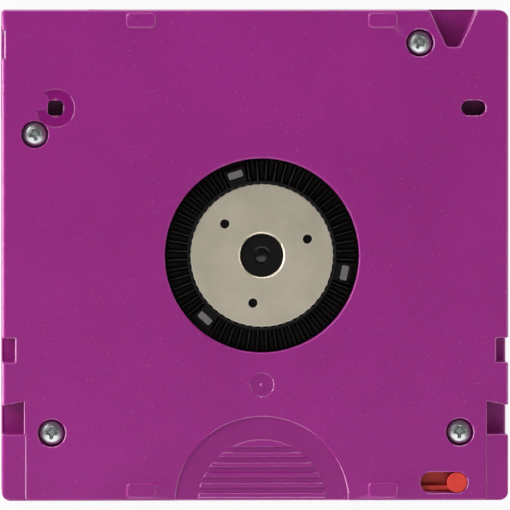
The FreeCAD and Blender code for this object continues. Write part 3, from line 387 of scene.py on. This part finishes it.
@dataclass(frozen=True)
class Rounding:
    """How the sharp edges of a moulded or stamped piece are rounded.

    An edge of a shallow step takes fine_mm in place of radius_mm, one within near's reach of its x and y
    takes near_mm, and the inner edge of the long bevel on the left side takes bevel_mm.
    """

    radius_mm: float
    segments: int = 2
    sharp_degrees: float = 32.0
    stray: float = 1.3
    merge_flat: bool = False
    fine_mm: float | None = None
    bevel_mm: float | None = None
    near_mm: float = 0.09
    near: Point = (0.0, 0.0, 0.0)
    shallow_mm: float = 0.6
    bevel_from_mm: float = 0.1
    bevel_to_mm: float = 0.9
    spoilt_radii: float = 4.0

    def radius(self, edge: bmesh.types.BMEdge, left_x: float) -> float:
        """Radius of one edge.

        Args:
            edge: The edge.
            left_x: Where the left side of the piece lies, in metres.

        Returns:
            The radius in millimetres.
        """
        middle = (edge.verts[0].co + edge.verts[1].co) / 2
        along = abs((edge.verts[0].co - edge.verts[1].co).normalized().y)
        levels = [abs(face.normal.z) for face in edge.link_faces]
        beside = self.bevel_from_mm * MM < middle.x - left_x < self.bevel_to_mm * MM
        if self.bevel_mm and max(levels) > LEVEL and along > LEVEL and beside:
            return self.bevel_mm
        x, y, reach = self.near
        if math.hypot(middle.x - x, middle.y - y) < reach:
            return self.near_mm
        if self.fine_mm is None:
            return self.radius_mm
        walls = [face for face, level in zip(edge.link_faces, levels) if level < LEVEL]
        heights = [max(v.co.z for v in wall.verts) - min(v.co.z for v in wall.verts) for wall in walls]
        return self.fine_mm if min(heights) < self.shallow_mm * MM else self.radius_mm


def object_from(bm: bmesh.types.BMesh, name: str, sharp_degrees: float = 34.0) -> bpy.types.Object:
    """Turns a bmesh into a shown object with smooth faces and sharp edges.

    Args:
        bm: The mesh, which is freed.
        name: Name of the new object and its mesh.
        sharp_degrees: Edges that turn more than this stay sharp.

    Returns:
        The new object, in the scene.
    """
    mesh = bpy.data.meshes.new(name)
    bmesh.ops.recalc_face_normals(bm, faces=bm.faces)
    if bm.calc_volume(signed=True) < 0:
        bmesh.ops.reverse_faces(bm, faces=bm.faces)
    for face in bm.faces:
        face.smooth = True
    for edge in bm.edges:
        edge.smooth = edge.calc_face_angle(0.0) < math.radians(sharp_degrees)
    bm.to_mesh(mesh)
    bm.free()
    obj = bpy.data.objects.new(name, mesh)
    bpy.context.scene.collection.objects.link(obj)
    return obj


def rounded(solid: bmesh.types.BMesh, rounding: Rounding, spoilt: list[Vector]) -> bmesh.types.BMesh:
    """Rounds the sharp edges of a closed mesh, except near spoilt corners.

    Args:
        solid: The mesh, which stays as it is.
        rounding: Radius and fineness of the rounding.
        spoilt: Places whose edges stay sharp.

    Returns:
        A rounded copy.
    """
    bm = solid.copy()
    limit = math.radians(rounding.sharp_degrees)
    keep_off = rounding.spoilt_radii * rounding.radius_mm * MM
    widest = max(rounding.radius_mm, rounding.bevel_mm or 0.0)
    weight = bm.edges.layers.float.new("bevel_weight_edge")
    left_x = min(vertex.co.x for vertex in bm.verts)
    for edge in bm.edges:
        near = any((v.co - place).length < keep_off for v in edge.verts for place in spoilt)
        if edge.is_manifold and not near and edge.calc_face_angle(0.0) > limit:
            edge[weight] = rounding.radius(edge, left_x) / widest
    plain = object_from(bm, "plain_copy")
    bevel = plain.modifiers.new("rounding", "BEVEL")
    bevel.limit_method = "WEIGHT"
    bevel.width = widest * MM
    bevel.segments = rounding.segments
    bevel.use_clamp_overlap = False
    bevel.loop_slide = False
    bevel.face_strength_mode = "FSTR_ALL"
    result = bmesh.new()
    result.from_mesh(plain.evaluated_get(bpy.context.evaluated_depsgraph_get()).to_mesh())
    bpy.data.objects.remove(plain)
    return result


def keep_flat(piece: bpy.types.Object) -> None:
    """Lets the faces between rounded edges keep their own normals.

    Args:
        piece: A piece whose edges were rounded.
    """
    normals = piece.modifiers.new("flat_faces", "WEIGHTED_NORMAL")
    normals.keep_sharp = True
    normals.use_face_influence = True


def rounded_copy(node: str, name: str, rounding: Rounding) -> bpy.types.Object:
    """Copies a solid of the frame and rounds its sharp edges.

    Where a corner is too tight for the radius, its edges stay sharp.

    Args:
        node: Name of the solid.
        name: Name of the new piece.
        rounding: Radius and fineness of the rounding.

    Returns:
        The new piece, which isn't on a body yet.
    """
    solid = bmesh.new()
    solid.from_mesh(frame["nodes"][node].data)
    bmesh.ops.remove_doubles(solid, verts=solid.verts, dist=WELD)
    surface = BVHTree.FromBMesh(solid)
    if rounding.merge_flat:
        bmesh.ops.dissolve_limit(
            solid, angle_limit=math.radians(FLAT_DEGREES), verts=solid.verts, edges=solid.edges)
    reach = rounding.stray * rounding.radius_mm * MM
    first = rounded(solid, rounding, [])
    spoilt = []
    for vertex in first.verts:
        if surface.find_nearest(vertex.co)[3] > reach:
            spoilt += [v.co.copy() for e in vertex.link_edges for v in e.verts
                       if surface.find_nearest(v.co)[3] <= reach]
    if spoilt:
        first.free()
        first = rounded(solid, rounding, spoilt)
        LOG.info("%s: %d tight corners stay sharp", name, len(spoilt))
    low, high = (Vector(pick(v.co[i] for v in solid.verts) for i in range(3)) for pick in (min, max))
    for vertex in first.verts:
        vertex.co = Vector(max(low[i], min(high[i], vertex.co[i])) for i in range(3))
    solid.free()
    piece = object_from(first, name)
    keep_flat(piece)
    return piece


def dress(piece: bpy.types.Object, body: str, material: bpy.types.Material,
          replaced: str | None = None) -> bpy.types.Object:
    """Gives a new piece its finish and puts it on its body.

    Args:
        piece: The piece, in place.
        body: The body that it moves with.
        material: Its finish.
        replaced: The solid of the frame that it stands for.

    Returns:
        The same piece.
    """
    if not piece.data.materials:
        piece.data.materials.append(material)
    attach(piece, body)
    if replaced:
        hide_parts(replaced)
    LOG.info("piece %s on %s", piece.name, body)
    return piece


def swept_wire(name: str, line: list[Vector], radius: float, sides: int) -> bpy.types.Object:
    """Round wire along a line of points.

    Args:
        name: Name of the new piece.
        line: Points of the centre line.
        radius: The wire's radius.
        sides: Corners of its section.

    Returns:
        The new piece.
    """
    bm = bmesh.new()
    rings = []
    up = Vector((0.0, 0.0, 1.0))
    for i, here in enumerate(line):
        ahead = line[min(i + 1, len(line) - 1)] - line[max(i - 1, 0)]
        ahead.normalize()
        side = ahead.cross(up).normalized()
        over = side.cross(ahead).normalized()
        up = over
        ring = []
        for k in range(sides):
            turn = 2 * math.pi * k / sides
            ring.append(bm.verts.new(here + radius * (side * math.cos(turn) + over * math.sin(turn))))
        rings.append(ring)
    for low, high in zip(rings, rings[1:]):
        for k in range(sides):
            n = (k + 1) % sides
            bm.faces.new((low[k], low[n], high[n], high[k]))
    bm.faces.new(rings[0])
    bm.faces.new(list(reversed(rings[-1])))
    return object_from(bm, name, 60.0)


@dataclass(frozen=True)
class Coil:
    """Round-wire coil spring in the place of a plain solid, its wire capped flat at both ends."""

    node: str
    wire_mm: float
    turns: int
    per_turn: int
    sides: int
    axis: int

    def build(self) -> bpy.types.Object:
        """Winds the spring inside its solid's box.

        Returns:
            The new piece, which isn't on a body yet.
        """
        low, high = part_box(self.node)
        centre = (low + high) / 2
        first, second = (i for i in range(3) if i != self.axis)
        radius = (high.x - low.x) / 2 - self.wire_mm / 2 * MM
        length = high[self.axis] - low[self.axis] - self.wire_mm * MM
        count = self.turns * self.per_turn
        line = []
        for i in range(count + 1):
            turn = 2 * math.pi * i / self.per_turn
            point = Vector((0.0, 0.0, 0.0))
            point[first] = centre[first] + radius * math.cos(turn)
            point[second] = centre[second] + radius * math.sin(turn)
            point[self.axis] = low[self.axis] + self.wire_mm / 2 * MM + length * i / count
            line.append(point)
        return swept_wire(self.node + "_wire", line, self.wire_mm / 2 * MM, self.sides)


# ---------------------------------------------------------------- sub-assemblies

@dataclass
class CaseShells:
    """The two moulded halves of the case."""

    edge: Rounding = Rounding(0.24, 1, fine_mm=0.13, bevel_mm=0.34)
    slot: str = "case_plastic"
    ring_reach: float = 4.1
    careful_reach: float = 10.2
    ring_depth: float = 0.12
    ring_play: float = 0.02
    pieces: list[bpy.types.Object] = field(default_factory=list)

    def hole(self) -> Point:
        """Centre of the locating hole at the hub-side face."""
        return next(m["pos_m"] for m in frame["record"]["mounts"] if m["name"] == "locating_hole")

    def polish_ring(self, piece: bpy.types.Object, polished: bpy.types.Material) -> None:
        """Gives the floor of the shallow ring around the locating hole its polished finish.

        Args:
            piece: The half of the case that carries the ring.
            polished: The finish.
        """
        x, y, face_z = self.hole()
        piece.data.materials.append(polished)
        for polygon in piece.data.polygons:
            centre = polygon.center
            low = abs(centre.z - (face_z - self.ring_depth * MM)) < self.ring_play * MM
            if low and math.hypot(centre.x - x, centre.y - y) < self.ring_reach * MM:
                polygon.material_index = 1

    def build(self) -> list[bpy.types.Object]:
        """Builds both halves with rounded edges.

        Returns:
            The new pieces.
        """
        shell = MouldedPolycarbonate("polycarbonate_spark_eroded", MouldTexture.SPARK_ERODED).build()
        x, y, _ = self.hole()
        edge = replace(self.edge, near=(x, y, self.careful_reach * MM))
        for node, name in (("bottom_shell", "case_hub_side"), ("top_shell", "case_top_side")):
            piece = rounded_copy(node, name, edge)
            self.pieces.append(dress(piece, "case", shell, node))
        smooth = MouldedPolycarbonate(
            "polycarbonate_polished_insert", MouldTexture.POLISHED, "#840a6e", "#82096c", "#860b70",
            "#9a4a90", 0.20, peel_depth_mm=0.004)
        self.polish_ring(self.pieces[0], smooth.build())
        return self.pieces


@dataclass
class CrossScrews:
    """Four zinc-plated pan-head screws with a cross recess."""

    nodes: tuple[str, ...] = ("screw_door_front", "screw_plain_front", "screw_door_rear", "screw_plain_rear")
    turns: tuple[float, ...] = (13.0, 65.0, -3.0, -2.0)
    head_r: float = 2.5
    head_h: float = 1.55
    rim_h: float = 0.95
    shank_r: float = 1.25
    arm: float = 1.5
    arm_w: float = 0.74
    heart: float = 0.28
    recess: float = 1.15
    cutter_over: float = 0.3
    arm_taper: float = 0.45
    width_taper: float = 0.7
    tip_r: float = 0.5
    tip_h: float = 0.6
    crown_rings: int = 20
    edge: Rounding = Rounding(0.15, 3)
    around: int = 96
    pieces: list[bpy.types.Object] = field(default_factory=list)

    def crown(self, r: float) -> float:
        """Height of the domed head above its seat.

        Args:
            r: Distance from the screw's axis, in millimetres.

        Returns:
            The height in millimetres.
        """
        drop = self.head_h - self.rim_h
        ball = (self.head_r ** 2 + drop ** 2) / (2 * drop)
        return self.head_h - ball + math.sqrt(ball ** 2 - r ** 2)

    def blank(self, tip: float) -> bmesh.types.BMesh:
        """Turned screw without its recess, with the seat at height 0.

        Args:
            tip: Height of the point, below the seat.

        Returns:
            The mesh, in metres.
        """
        radii = [self.head_r * i / self.crown_rings for i in range(1, self.crown_rings + 1)]
        profile = [(r, self.crown(r)) for r in radii]
        profile += [(self.head_r, 0.0), (self.shank_r, 0.0)]
        profile += [(self.shank_r, tip + self.tip_h), (self.tip_r, tip)]
        bm = bmesh.new()
        rings = []
        angles = [2 * math.pi * k / self.around for k in range(self.around)]
        for r, height in profile:
            points = [(r * MM * math.cos(a), r * MM * math.sin(a), height * MM) for a in angles]
            rings.append([bm.verts.new(point) for point in points])
        top = bm.verts.new((0.0, 0.0, self.head_h * MM))
        for k in range(self.around):
            n = (k + 1) % self.around
            bm.faces.new((top, rings[0][k], rings[0][n]))
            for inner, outer in zip(rings, rings[1:]):
                bm.faces.new((inner[k], outer[k], outer[n], inner[n]))
        bm.faces.new(rings[-1])
        bmesh.ops.recalc_face_normals(bm, faces=bm.faces)
        return bm

    def cross(self, turn: float) -> bmesh.types.BMesh:
        """Tapered cross that cuts the recess.

        Args:
            turn: How far it is turned, in degrees.

        Returns:
            The mesh, in metres.
        """
        levels = (
            (self.head_h + self.cutter_over, self.arm, self.arm_w),
            (self.head_h - self.recess, self.arm * self.arm_taper, self.arm_w * self.width_taper))
        bm = bmesh.new()
        rings = []
        for height, reach, width in levels:
            half, heart = width / 2, width / 2 + self.heart
            ring = []
            for quarter in range(4):
                angle = math.radians(turn + 90 * quarter)
                for x, y in ((reach, -half), (reach, half), (heart, half), (half, heart)):
                    px = x * math.cos(angle) - y * math.sin(angle)
                    py = x * math.sin(angle) + y * math.cos(angle)
                    ring.append(bm.verts.new((px * MM, py * MM, height * MM)))
            rings.append(ring)
        count = len(rings[0])
        for k in range(count):
            n = (k + 1) % count
            bm.faces.new((rings[0][k], rings[1][k], rings[1][n], rings[0][n]))
        bm.faces.new(rings[0])
        bm.faces.new(list(reversed(rings[1])))
        bmesh.ops.recalc_face_normals(bm, faces=bm.faces)
        return bm

    def screw(self, node: str, turn: float) -> bpy.types.Object:
        """Builds one screw over its plain solid.

        Args:
            node: The solid.
            turn: How far its recess is turned, in degrees.

        Returns:
            The new piece.
        """
        low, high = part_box(node)
        seat = high.z - self.head_h * MM
        whole = object_from(self.blank((low.z - seat) / MM), node + "_blank")
        cutter = object_from(self.cross(turn), node + "_cutter")
        cut = whole.modifiers.new("cross", "BOOLEAN")
        cut.operation = "DIFFERENCE"
        cut.solver = "EXACT"
        cut.object = cutter
        result = whole.evaluated_get(bpy.context.evaluated_depsgraph_get()).to_mesh()
        bm = bmesh.new()
        bm.from_mesh(result)
        for scrap in (whole, cutter):
            bpy.data.objects.remove(scrap)
        bmesh.ops.remove_doubles(bm, verts=bm.verts, dist=MM * 0.004)
        soft = rounded(bm, self.edge, [])
        bm.free()
        # Faces deep inside the cross recess take the second slot, a darker zinc that is painted shade in the
        # recess.
        for face in soft.faces:
            centre = face.calc_center_median()
            r = math.hypot(centre.x, centre.y) / MM
            inside = r < self.arm and centre.z > (self.head_h - self.recess) * MM * LEVEL
            below = inside and centre.z / MM < self.crown(r) - 2 * self.edge.radius_mm
            face.material_index = 1 if below else 0
        bmesh.ops.translate(soft, verts=soft.verts, vec=((low.x + high.x) / 2, (low.y + high.y) / 2, seat))
        piece = object_from(soft, node + "_cross_head", 40.0)
        keep_flat(piece)
        return piece

    def build(self) -> list[bpy.types.Object]:
        """Builds all four screws.

        Returns:
            The new pieces.
        """
        zinc = Metal("zinc_plated_steel", "#d3d6d6", "#babfbf", 0.30, 1.2, 0.10, 0.001).build()
        # Darker, rougher zinc for the inside of the cross recess: painted shade in the recess.
        recess_shade = Metal("zinc_plated_steel_recess_painted_shade", "#b4bdbb", "#a4adab", 0.55, 0.6, 0.10, 0.001).build()
        for node, turn in zip(self.nodes, self.turns):
            piece = self.screw(node, turn)
            piece.data.materials.append(zinc)
            piece.data.materials.append(recess_shade)
            self.pieces.append(dress(piece, "case", zinc, node))
        return self.pieces


@dataclass
class Clutch:
    """Reel hub with its toothed ring, the steel plate and the release plate's pads."""

    tooth_edge: Rounding = Rounding(0.07, 2)
    plate_edge: Rounding = Rounding(0.27, 3, merge_flat=True, near_mm=0.08)
    punched_reach: float = 12.5
    bore_reach: float = 5.5
    shaded_floor_up: float = 0.9
    highlight_up: tuple[float, float] = (0.2, 0.995)
    pad_edge: Rounding = Rounding(0.10, 2)
    pieces: list[bpy.types.Object] = field(default_factory=list)

    def build(self) -> list[bpy.types.Object]:
        """Builds the hub, the plate and the pads.

        Returns:
            The new pieces.
        """
        black = MouldedPlastic("glass_filled_black_polycarbonate", "#0b0705", "#090504", 0.17, 1.46).build()
        steel = Metal("stamped_stainless_steel", "#ddd4c0", "#d3cab6", 0.42, 9.0, 0.09, 0.0015).build()
        grey = MouldedPlastic("grey_acetal", "#6f6b6e", "#686467", 0.45).build()
        # Darker copy of the black plastic, matt and with a low IOR, for the hub's upward faces outside the
        # bore: painted shade on the floors and on the ring round the plate.
        matt = MouldedPlastic("black_polycarbonate_painted_shade", "#060303", "#040202", 0.72, 1.3).build()
        low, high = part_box("clutch_plate")
        middle = ((low + high) / 2).to_2d()
        hub = rounded_copy("reel_hub", "reel_hub_moulding", self.tooth_edge)
        hub.data.materials.append(black)
        hub.data.materials.append(matt)
        # Upward faces outside the bore take the painted shade.
        for polygon in hub.data.polygons:
            away = (polygon.center.to_2d() - middle).length
            floor = away > self.bore_reach * MM and polygon.normal.z > self.shaded_floor_up
            polygon.material_index = 1 if floor else 0
        self.pieces.append(dress(hub, "reel", black, "reel_hub"))
        # Lighter, rougher steel on the plate's rounded outer edge: a painted highlight along that edge.
        edge_highlight = Metal("stainless_edge_painted_highlight", "#fbf6ea", "#f0e9da", 0.48, 4.0, 0.09, 0.001).build()
        reach = self.punched_reach * MM
        edge = replace(self.plate_edge, near=(middle.x, middle.y, reach))
        plate = rounded_copy("clutch_plate", "clutch_plate_stamping", edge)
        plate.data.materials.append(steel)
        plate.data.materials.append(edge_highlight)
        # Tilted faces outside the punched holes take the painted highlight.
        for polygon in plate.data.polygons:
            outer = (polygon.center.to_2d() - middle).length > reach
            highlight_tilt = self.highlight_up[0] < polygon.normal.z < self.highlight_up[1]
            polygon.material_index = 1 if outer and highlight_tilt else 0
        self.pieces.append(dress(plate, "reel", steel, "clutch_plate"))
        pads = rounded_copy("release_plate", "release_plate_moulding", self.pad_edge)
        self.pieces.append(dress(pads, "release", grey, "release_plate"))
        return self.pieces


@dataclass
class ReelAndTape:
    """The reel's welded flange, the wound tape and the free span to the leader pin."""

    flange_edge: Rounding = Rounding(0.2, 2)

    def build(self) -> list[bpy.types.Object]:
        """Builds the flange and dresses the tape.

        Returns:
            The new pieces.
        """
        black = MouldedPlastic("black_polycarbonate_flange", "#160e0a", "#120b08", 0.34, 1.5).build()
        low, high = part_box("tape_pack")
        tape = WoundTape("coated_polyester_tape", tuple((low + high) / 2)).build()
        flange = rounded_copy("reel_flange", "reel_flange_moulding", self.flange_edge)
        dress(flange, "reel", black, "reel_flange")
        for node in ("tape_pack", "tape_leader"):
            solid = frame["nodes"][node]
            solid.data.materials.clear()
            solid.data.materials.append(tape)
        return [flange]


@dataclass
class LeaderDoor:
    """Sliding door, its spring, and the leader pin with its clamp and keepers."""

    edge: Rounding = Rounding(0.12, 2)
    pin_edge: Rounding = Rounding(0.08, 2)
    keeper_edge: Rounding = Rounding(0.03, 1)
    coil: Coil = Coil("door_spring", wire_mm=0.5, turns=11, per_turn=28, sides=10, axis=1)

    def build(self) -> list[bpy.types.Object]:
        """Builds the door, its spring and the leader's metalwork.

        Returns:
            The new pieces.
        """
        black = MouldedPlastic(
            "black_acetal_door", "#26252a", "#1f1e22", 0.40, grain_mm=0.2, grain_depth_mm=0.006).build()
        wire = Metal("drawn_spring_steel", "#c9c9cb", "#a9a9ac", 0.22, 0.8, 0.06, 0.001).build()
        ground = Metal("ground_steel_pin", "#dcdcde", "#c4c4c7", 0.16, 2.0, 0.05, 0.0008).build()
        clip = MouldedPlastic("black_acetal_clamp", "#211f1f", "#1a1818", 0.30).build()
        leaf = rounded_copy("access_door", "door_moulding", self.edge)
        door = dress(leaf, "door", black, "access_door")
        spring = dress(self.coil.build(), "case", wire, "door_spring")
        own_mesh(spring)
        pieces = [door, spring]
        pin = rounded_copy("leader_pin", "leader_pin_turned", self.pin_edge)
        pieces.append(dress(pin, "case", ground, "leader_pin"))
        clamp = rounded_copy("leader_clamp", "leader_clamp_moulding", self.pin_edge)
        pieces.append(dress(clamp, "case", clip, "leader_clamp"))
        for node in ("pin_keeper_hub_side", "pin_keeper_top_side"):
            strip = rounded_copy(node, node + "_strip", self.keeper_edge)
            pieces.append(dress(strip, "case", wire, node))
        return pieces


@dataclass
class WriteProtectSlider:
    """Orange-red slider whose round button shows in the slot of the hub side."""

    edge: Rounding = Rounding(0.10, 3)

    def build(self) -> list[bpy.types.Object]:
        """Builds the slider.

        Returns:
            The new pieces.
        """
        red = MouldedPlastic("orange_red_acetal", "#dc382c", "#d23228", 0.44).build()
        piece = rounded_copy("write_protect_slider", "write_slider_moulding", self.edge)
        return [dress(piece, "write_slider", red, "write_protect_slider")]


@dataclass
class MemoryTag:
    """Small circuit board with its chip, behind the label edge."""

    edge: Rounding = Rounding(0.05, 1)

    def build(self) -> list[bpy.types.Object]:
        """Builds the board and the chip.

        Returns:
            The new pieces.
        """
        mask = MouldedPlastic("green_solder_mask", "#1f6b3a", "#1a5c33", 0.30).build()
        resin = MouldedPlastic("black_potting_resin", "#17171a", "#101012", 0.35).build()
        board = rounded_copy("memory_board", "memory_board_laminate", self.edge)
        chip = rounded_copy("memory_chip", "memory_chip_package", self.edge)
        return [dress(board, "case", mask, "memory_board"),
                dress(chip, "case", resin, "memory_chip")]


@dataclass
class Brake:
    """Toothed brake under the hub, and its spring."""

    edge: Rounding = Rounding(0.08, 1)
    coil: Coil = Coil("brake_spring", wire_mm=0.8, turns=5, per_turn=36, sides=12, axis=2)

    def build(self) -> list[bpy.types.Object]:
        """Builds the brake and its spring.

        Returns:
            The new pieces.
        """
        white = MouldedPlastic("natural_acetal", "#dcd9ce", "#d2cfc4", 0.42).build()
        wire = Metal("drawn_brake_spring_steel", "#c9c9cb", "#a9a9ac", 0.22, 0.8, 0.06, 0.001).build()
        button = rounded_copy("brake_button", "brake_moulding", self.edge)
        brake = dress(button, "brake", white, "brake_button")
        spring = dress(self.coil.build(), "case", wire, "brake_spring")
        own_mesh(spring)
        return [brake, spring]


# ---------------------------------------------------------------- studio

@dataclass(frozen=True)
class Lamp:
    """One soft box."""

    name: str
    place: Point
    size: tuple[float, float]
    watts: float
    colour: str = "#ffffff"

    def build(self, target: Vector) -> bpy.types.Object:
        """Adds the lamp.

        Args:
            target: The point that it is turned towards.

        Returns:
            The new lamp.
        """
        data = bpy.data.lights.new(self.name, "AREA")
        data.shape = "RECTANGLE"
        data.size, data.size_y = self.size
        data.energy = self.watts
        data.color = linear(self.colour)[:3]
        lamp = bpy.data.objects.new(self.name, data)
        lamp.location = self.place
        lamp.rotation_euler = (target - lamp.location).to_track_quat("-Z", "Y").to_euler()
        bpy.context.scene.collection.objects.link(lamp)
        return lamp


@dataclass
class Studio:
    """White sweep, soft light and a camera that looks down a degree or two off plumb."""

    face_z: float
    camera_height: float = 2.1
    camera_lean: tuple[float, float] = (-0.0315, 0.0325)
    view_width: float = 0.10600
    centre: tuple[float, float] = (-0.00006, 0.00013)
    sensor_mm: float = 36.0
    clip_end: float = 100.0
    floor_size: float = 6.0
    floor_gap: float = 0.00005
    world_colour: str = "#ffffff"
    world_strength: float = 0.12
    lamps: tuple[Lamp, ...] = (
        Lamp("soft_box_rear", (-0.03, -0.47, 0.78), (1.1, 0.62), 3.5),
        Lamp("soft_box_front_left", (-0.50, 0.42, 0.50), (0.5, 0.4), 3.6),
        Lamp("soft_box_right", (0.78, 0.10, 0.50), (0.9, 0.5), 1.3),
        Lamp("edge_light_left", (-0.70, 0.0, 0.07), (0.9, 0.14), 6.5),
        Lamp("edge_light_right", (0.70, 0.0, 0.09), (0.9, 0.16), 2.0),
        Lamp("edge_light_front", (0.0, 0.70, 0.09), (0.9, 0.16), 3.0),
        Lamp("edge_light_rear", (0.0, -0.70, 0.09), (0.9, 0.16), 3.0),
    )

    def floor(self) -> None:
        """Adds the floor under the cartridge."""
        half = self.floor_size / 2
        mesh = bpy.data.meshes.new("studio_floor")
        low = -self.floor_gap
        corners = [(-half, -half, low), (half, -half, low), (half, half, low), (-half, half, low)]
        mesh.from_pydata(corners, [], [(0, 1, 2, 3)])
        sweep = bpy.data.objects.new("studio_floor", mesh)
        bpy.context.scene.collection.objects.link(sweep)
        mesh.materials.append(WhiteSweep().build())

    def world(self) -> None:
        """Adds the even light of a white room, which the camera sees as white."""
        world = bpy.data.worlds.new("white_room")
        world.use_nodes = True
        tree = world.node_tree
        tree.nodes.clear()
        path = add_node(tree, "ShaderNodeLightPath", {})
        strength = add_node(tree, "ShaderNodeMapRange", {
            "Value": path.outputs["Is Camera Ray"], "To Min": self.world_strength, "To Max": 1.0})
        sky = add_node(tree, "ShaderNodeBackground", {
            "Color": linear(self.world_colour), "Strength": strength.outputs["Result"]})
        add_node(tree, "ShaderNodeOutputWorld", {"Surface": sky.outputs["Background"]})
        bpy.context.scene.world = world

    def camera(self) -> None:
        """Adds the camera, which looks down with the front edge at the top, a degree or two off plumb."""
        data = bpy.data.cameras.new("copy_stand_camera")
        data.sensor_width = self.sensor_mm
        data.lens = self.sensor_mm * self.camera_height / self.view_width
        data.clip_end = self.clip_end
        camera = bpy.data.objects.new("copy_stand_camera", data)
        aim = Vector((self.centre[0], self.centre[1], self.face_z))
        lean = Vector((self.camera_lean[0], self.camera_lean[1], 1.0)).normalized()
        camera.location = aim + lean * self.camera_height
        forward = -lean
        right = forward.cross(Vector((0.0, 1.0, 0.0))).normalized()
        up = right.cross(forward)
        camera.rotation_euler = Matrix((right, up, lean)).transposed().to_euler()
        bpy.context.scene.collection.objects.link(camera)
        bpy.context.scene.camera = camera

    def build(self) -> None:
        """Builds the whole studio."""
        bpy.context.scene.view_settings.view_transform = "Standard"
        target = Vector((0.0, 0.0, self.face_z))
        self.floor()
        self.world()
        self.camera()
        for lamp in self.lamps:
            lamp.build(target)


def main() -> None:
    logging.basicConfig(level=logging.INFO, format="%(message)s")
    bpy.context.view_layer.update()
    parts: list[Callable[[], list[bpy.types.Object]]] = [
        CaseShells().build, CrossScrews().build, Clutch().build, ReelAndTape().build,
        LeaderDoor().build, WriteProtectSlider().build, MemoryTag().build, Brake().build]
    for build in parts:
        build()
    Studio(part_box("bottom_shell")[1].z).build()


if __name__ == "__main__":
    main()
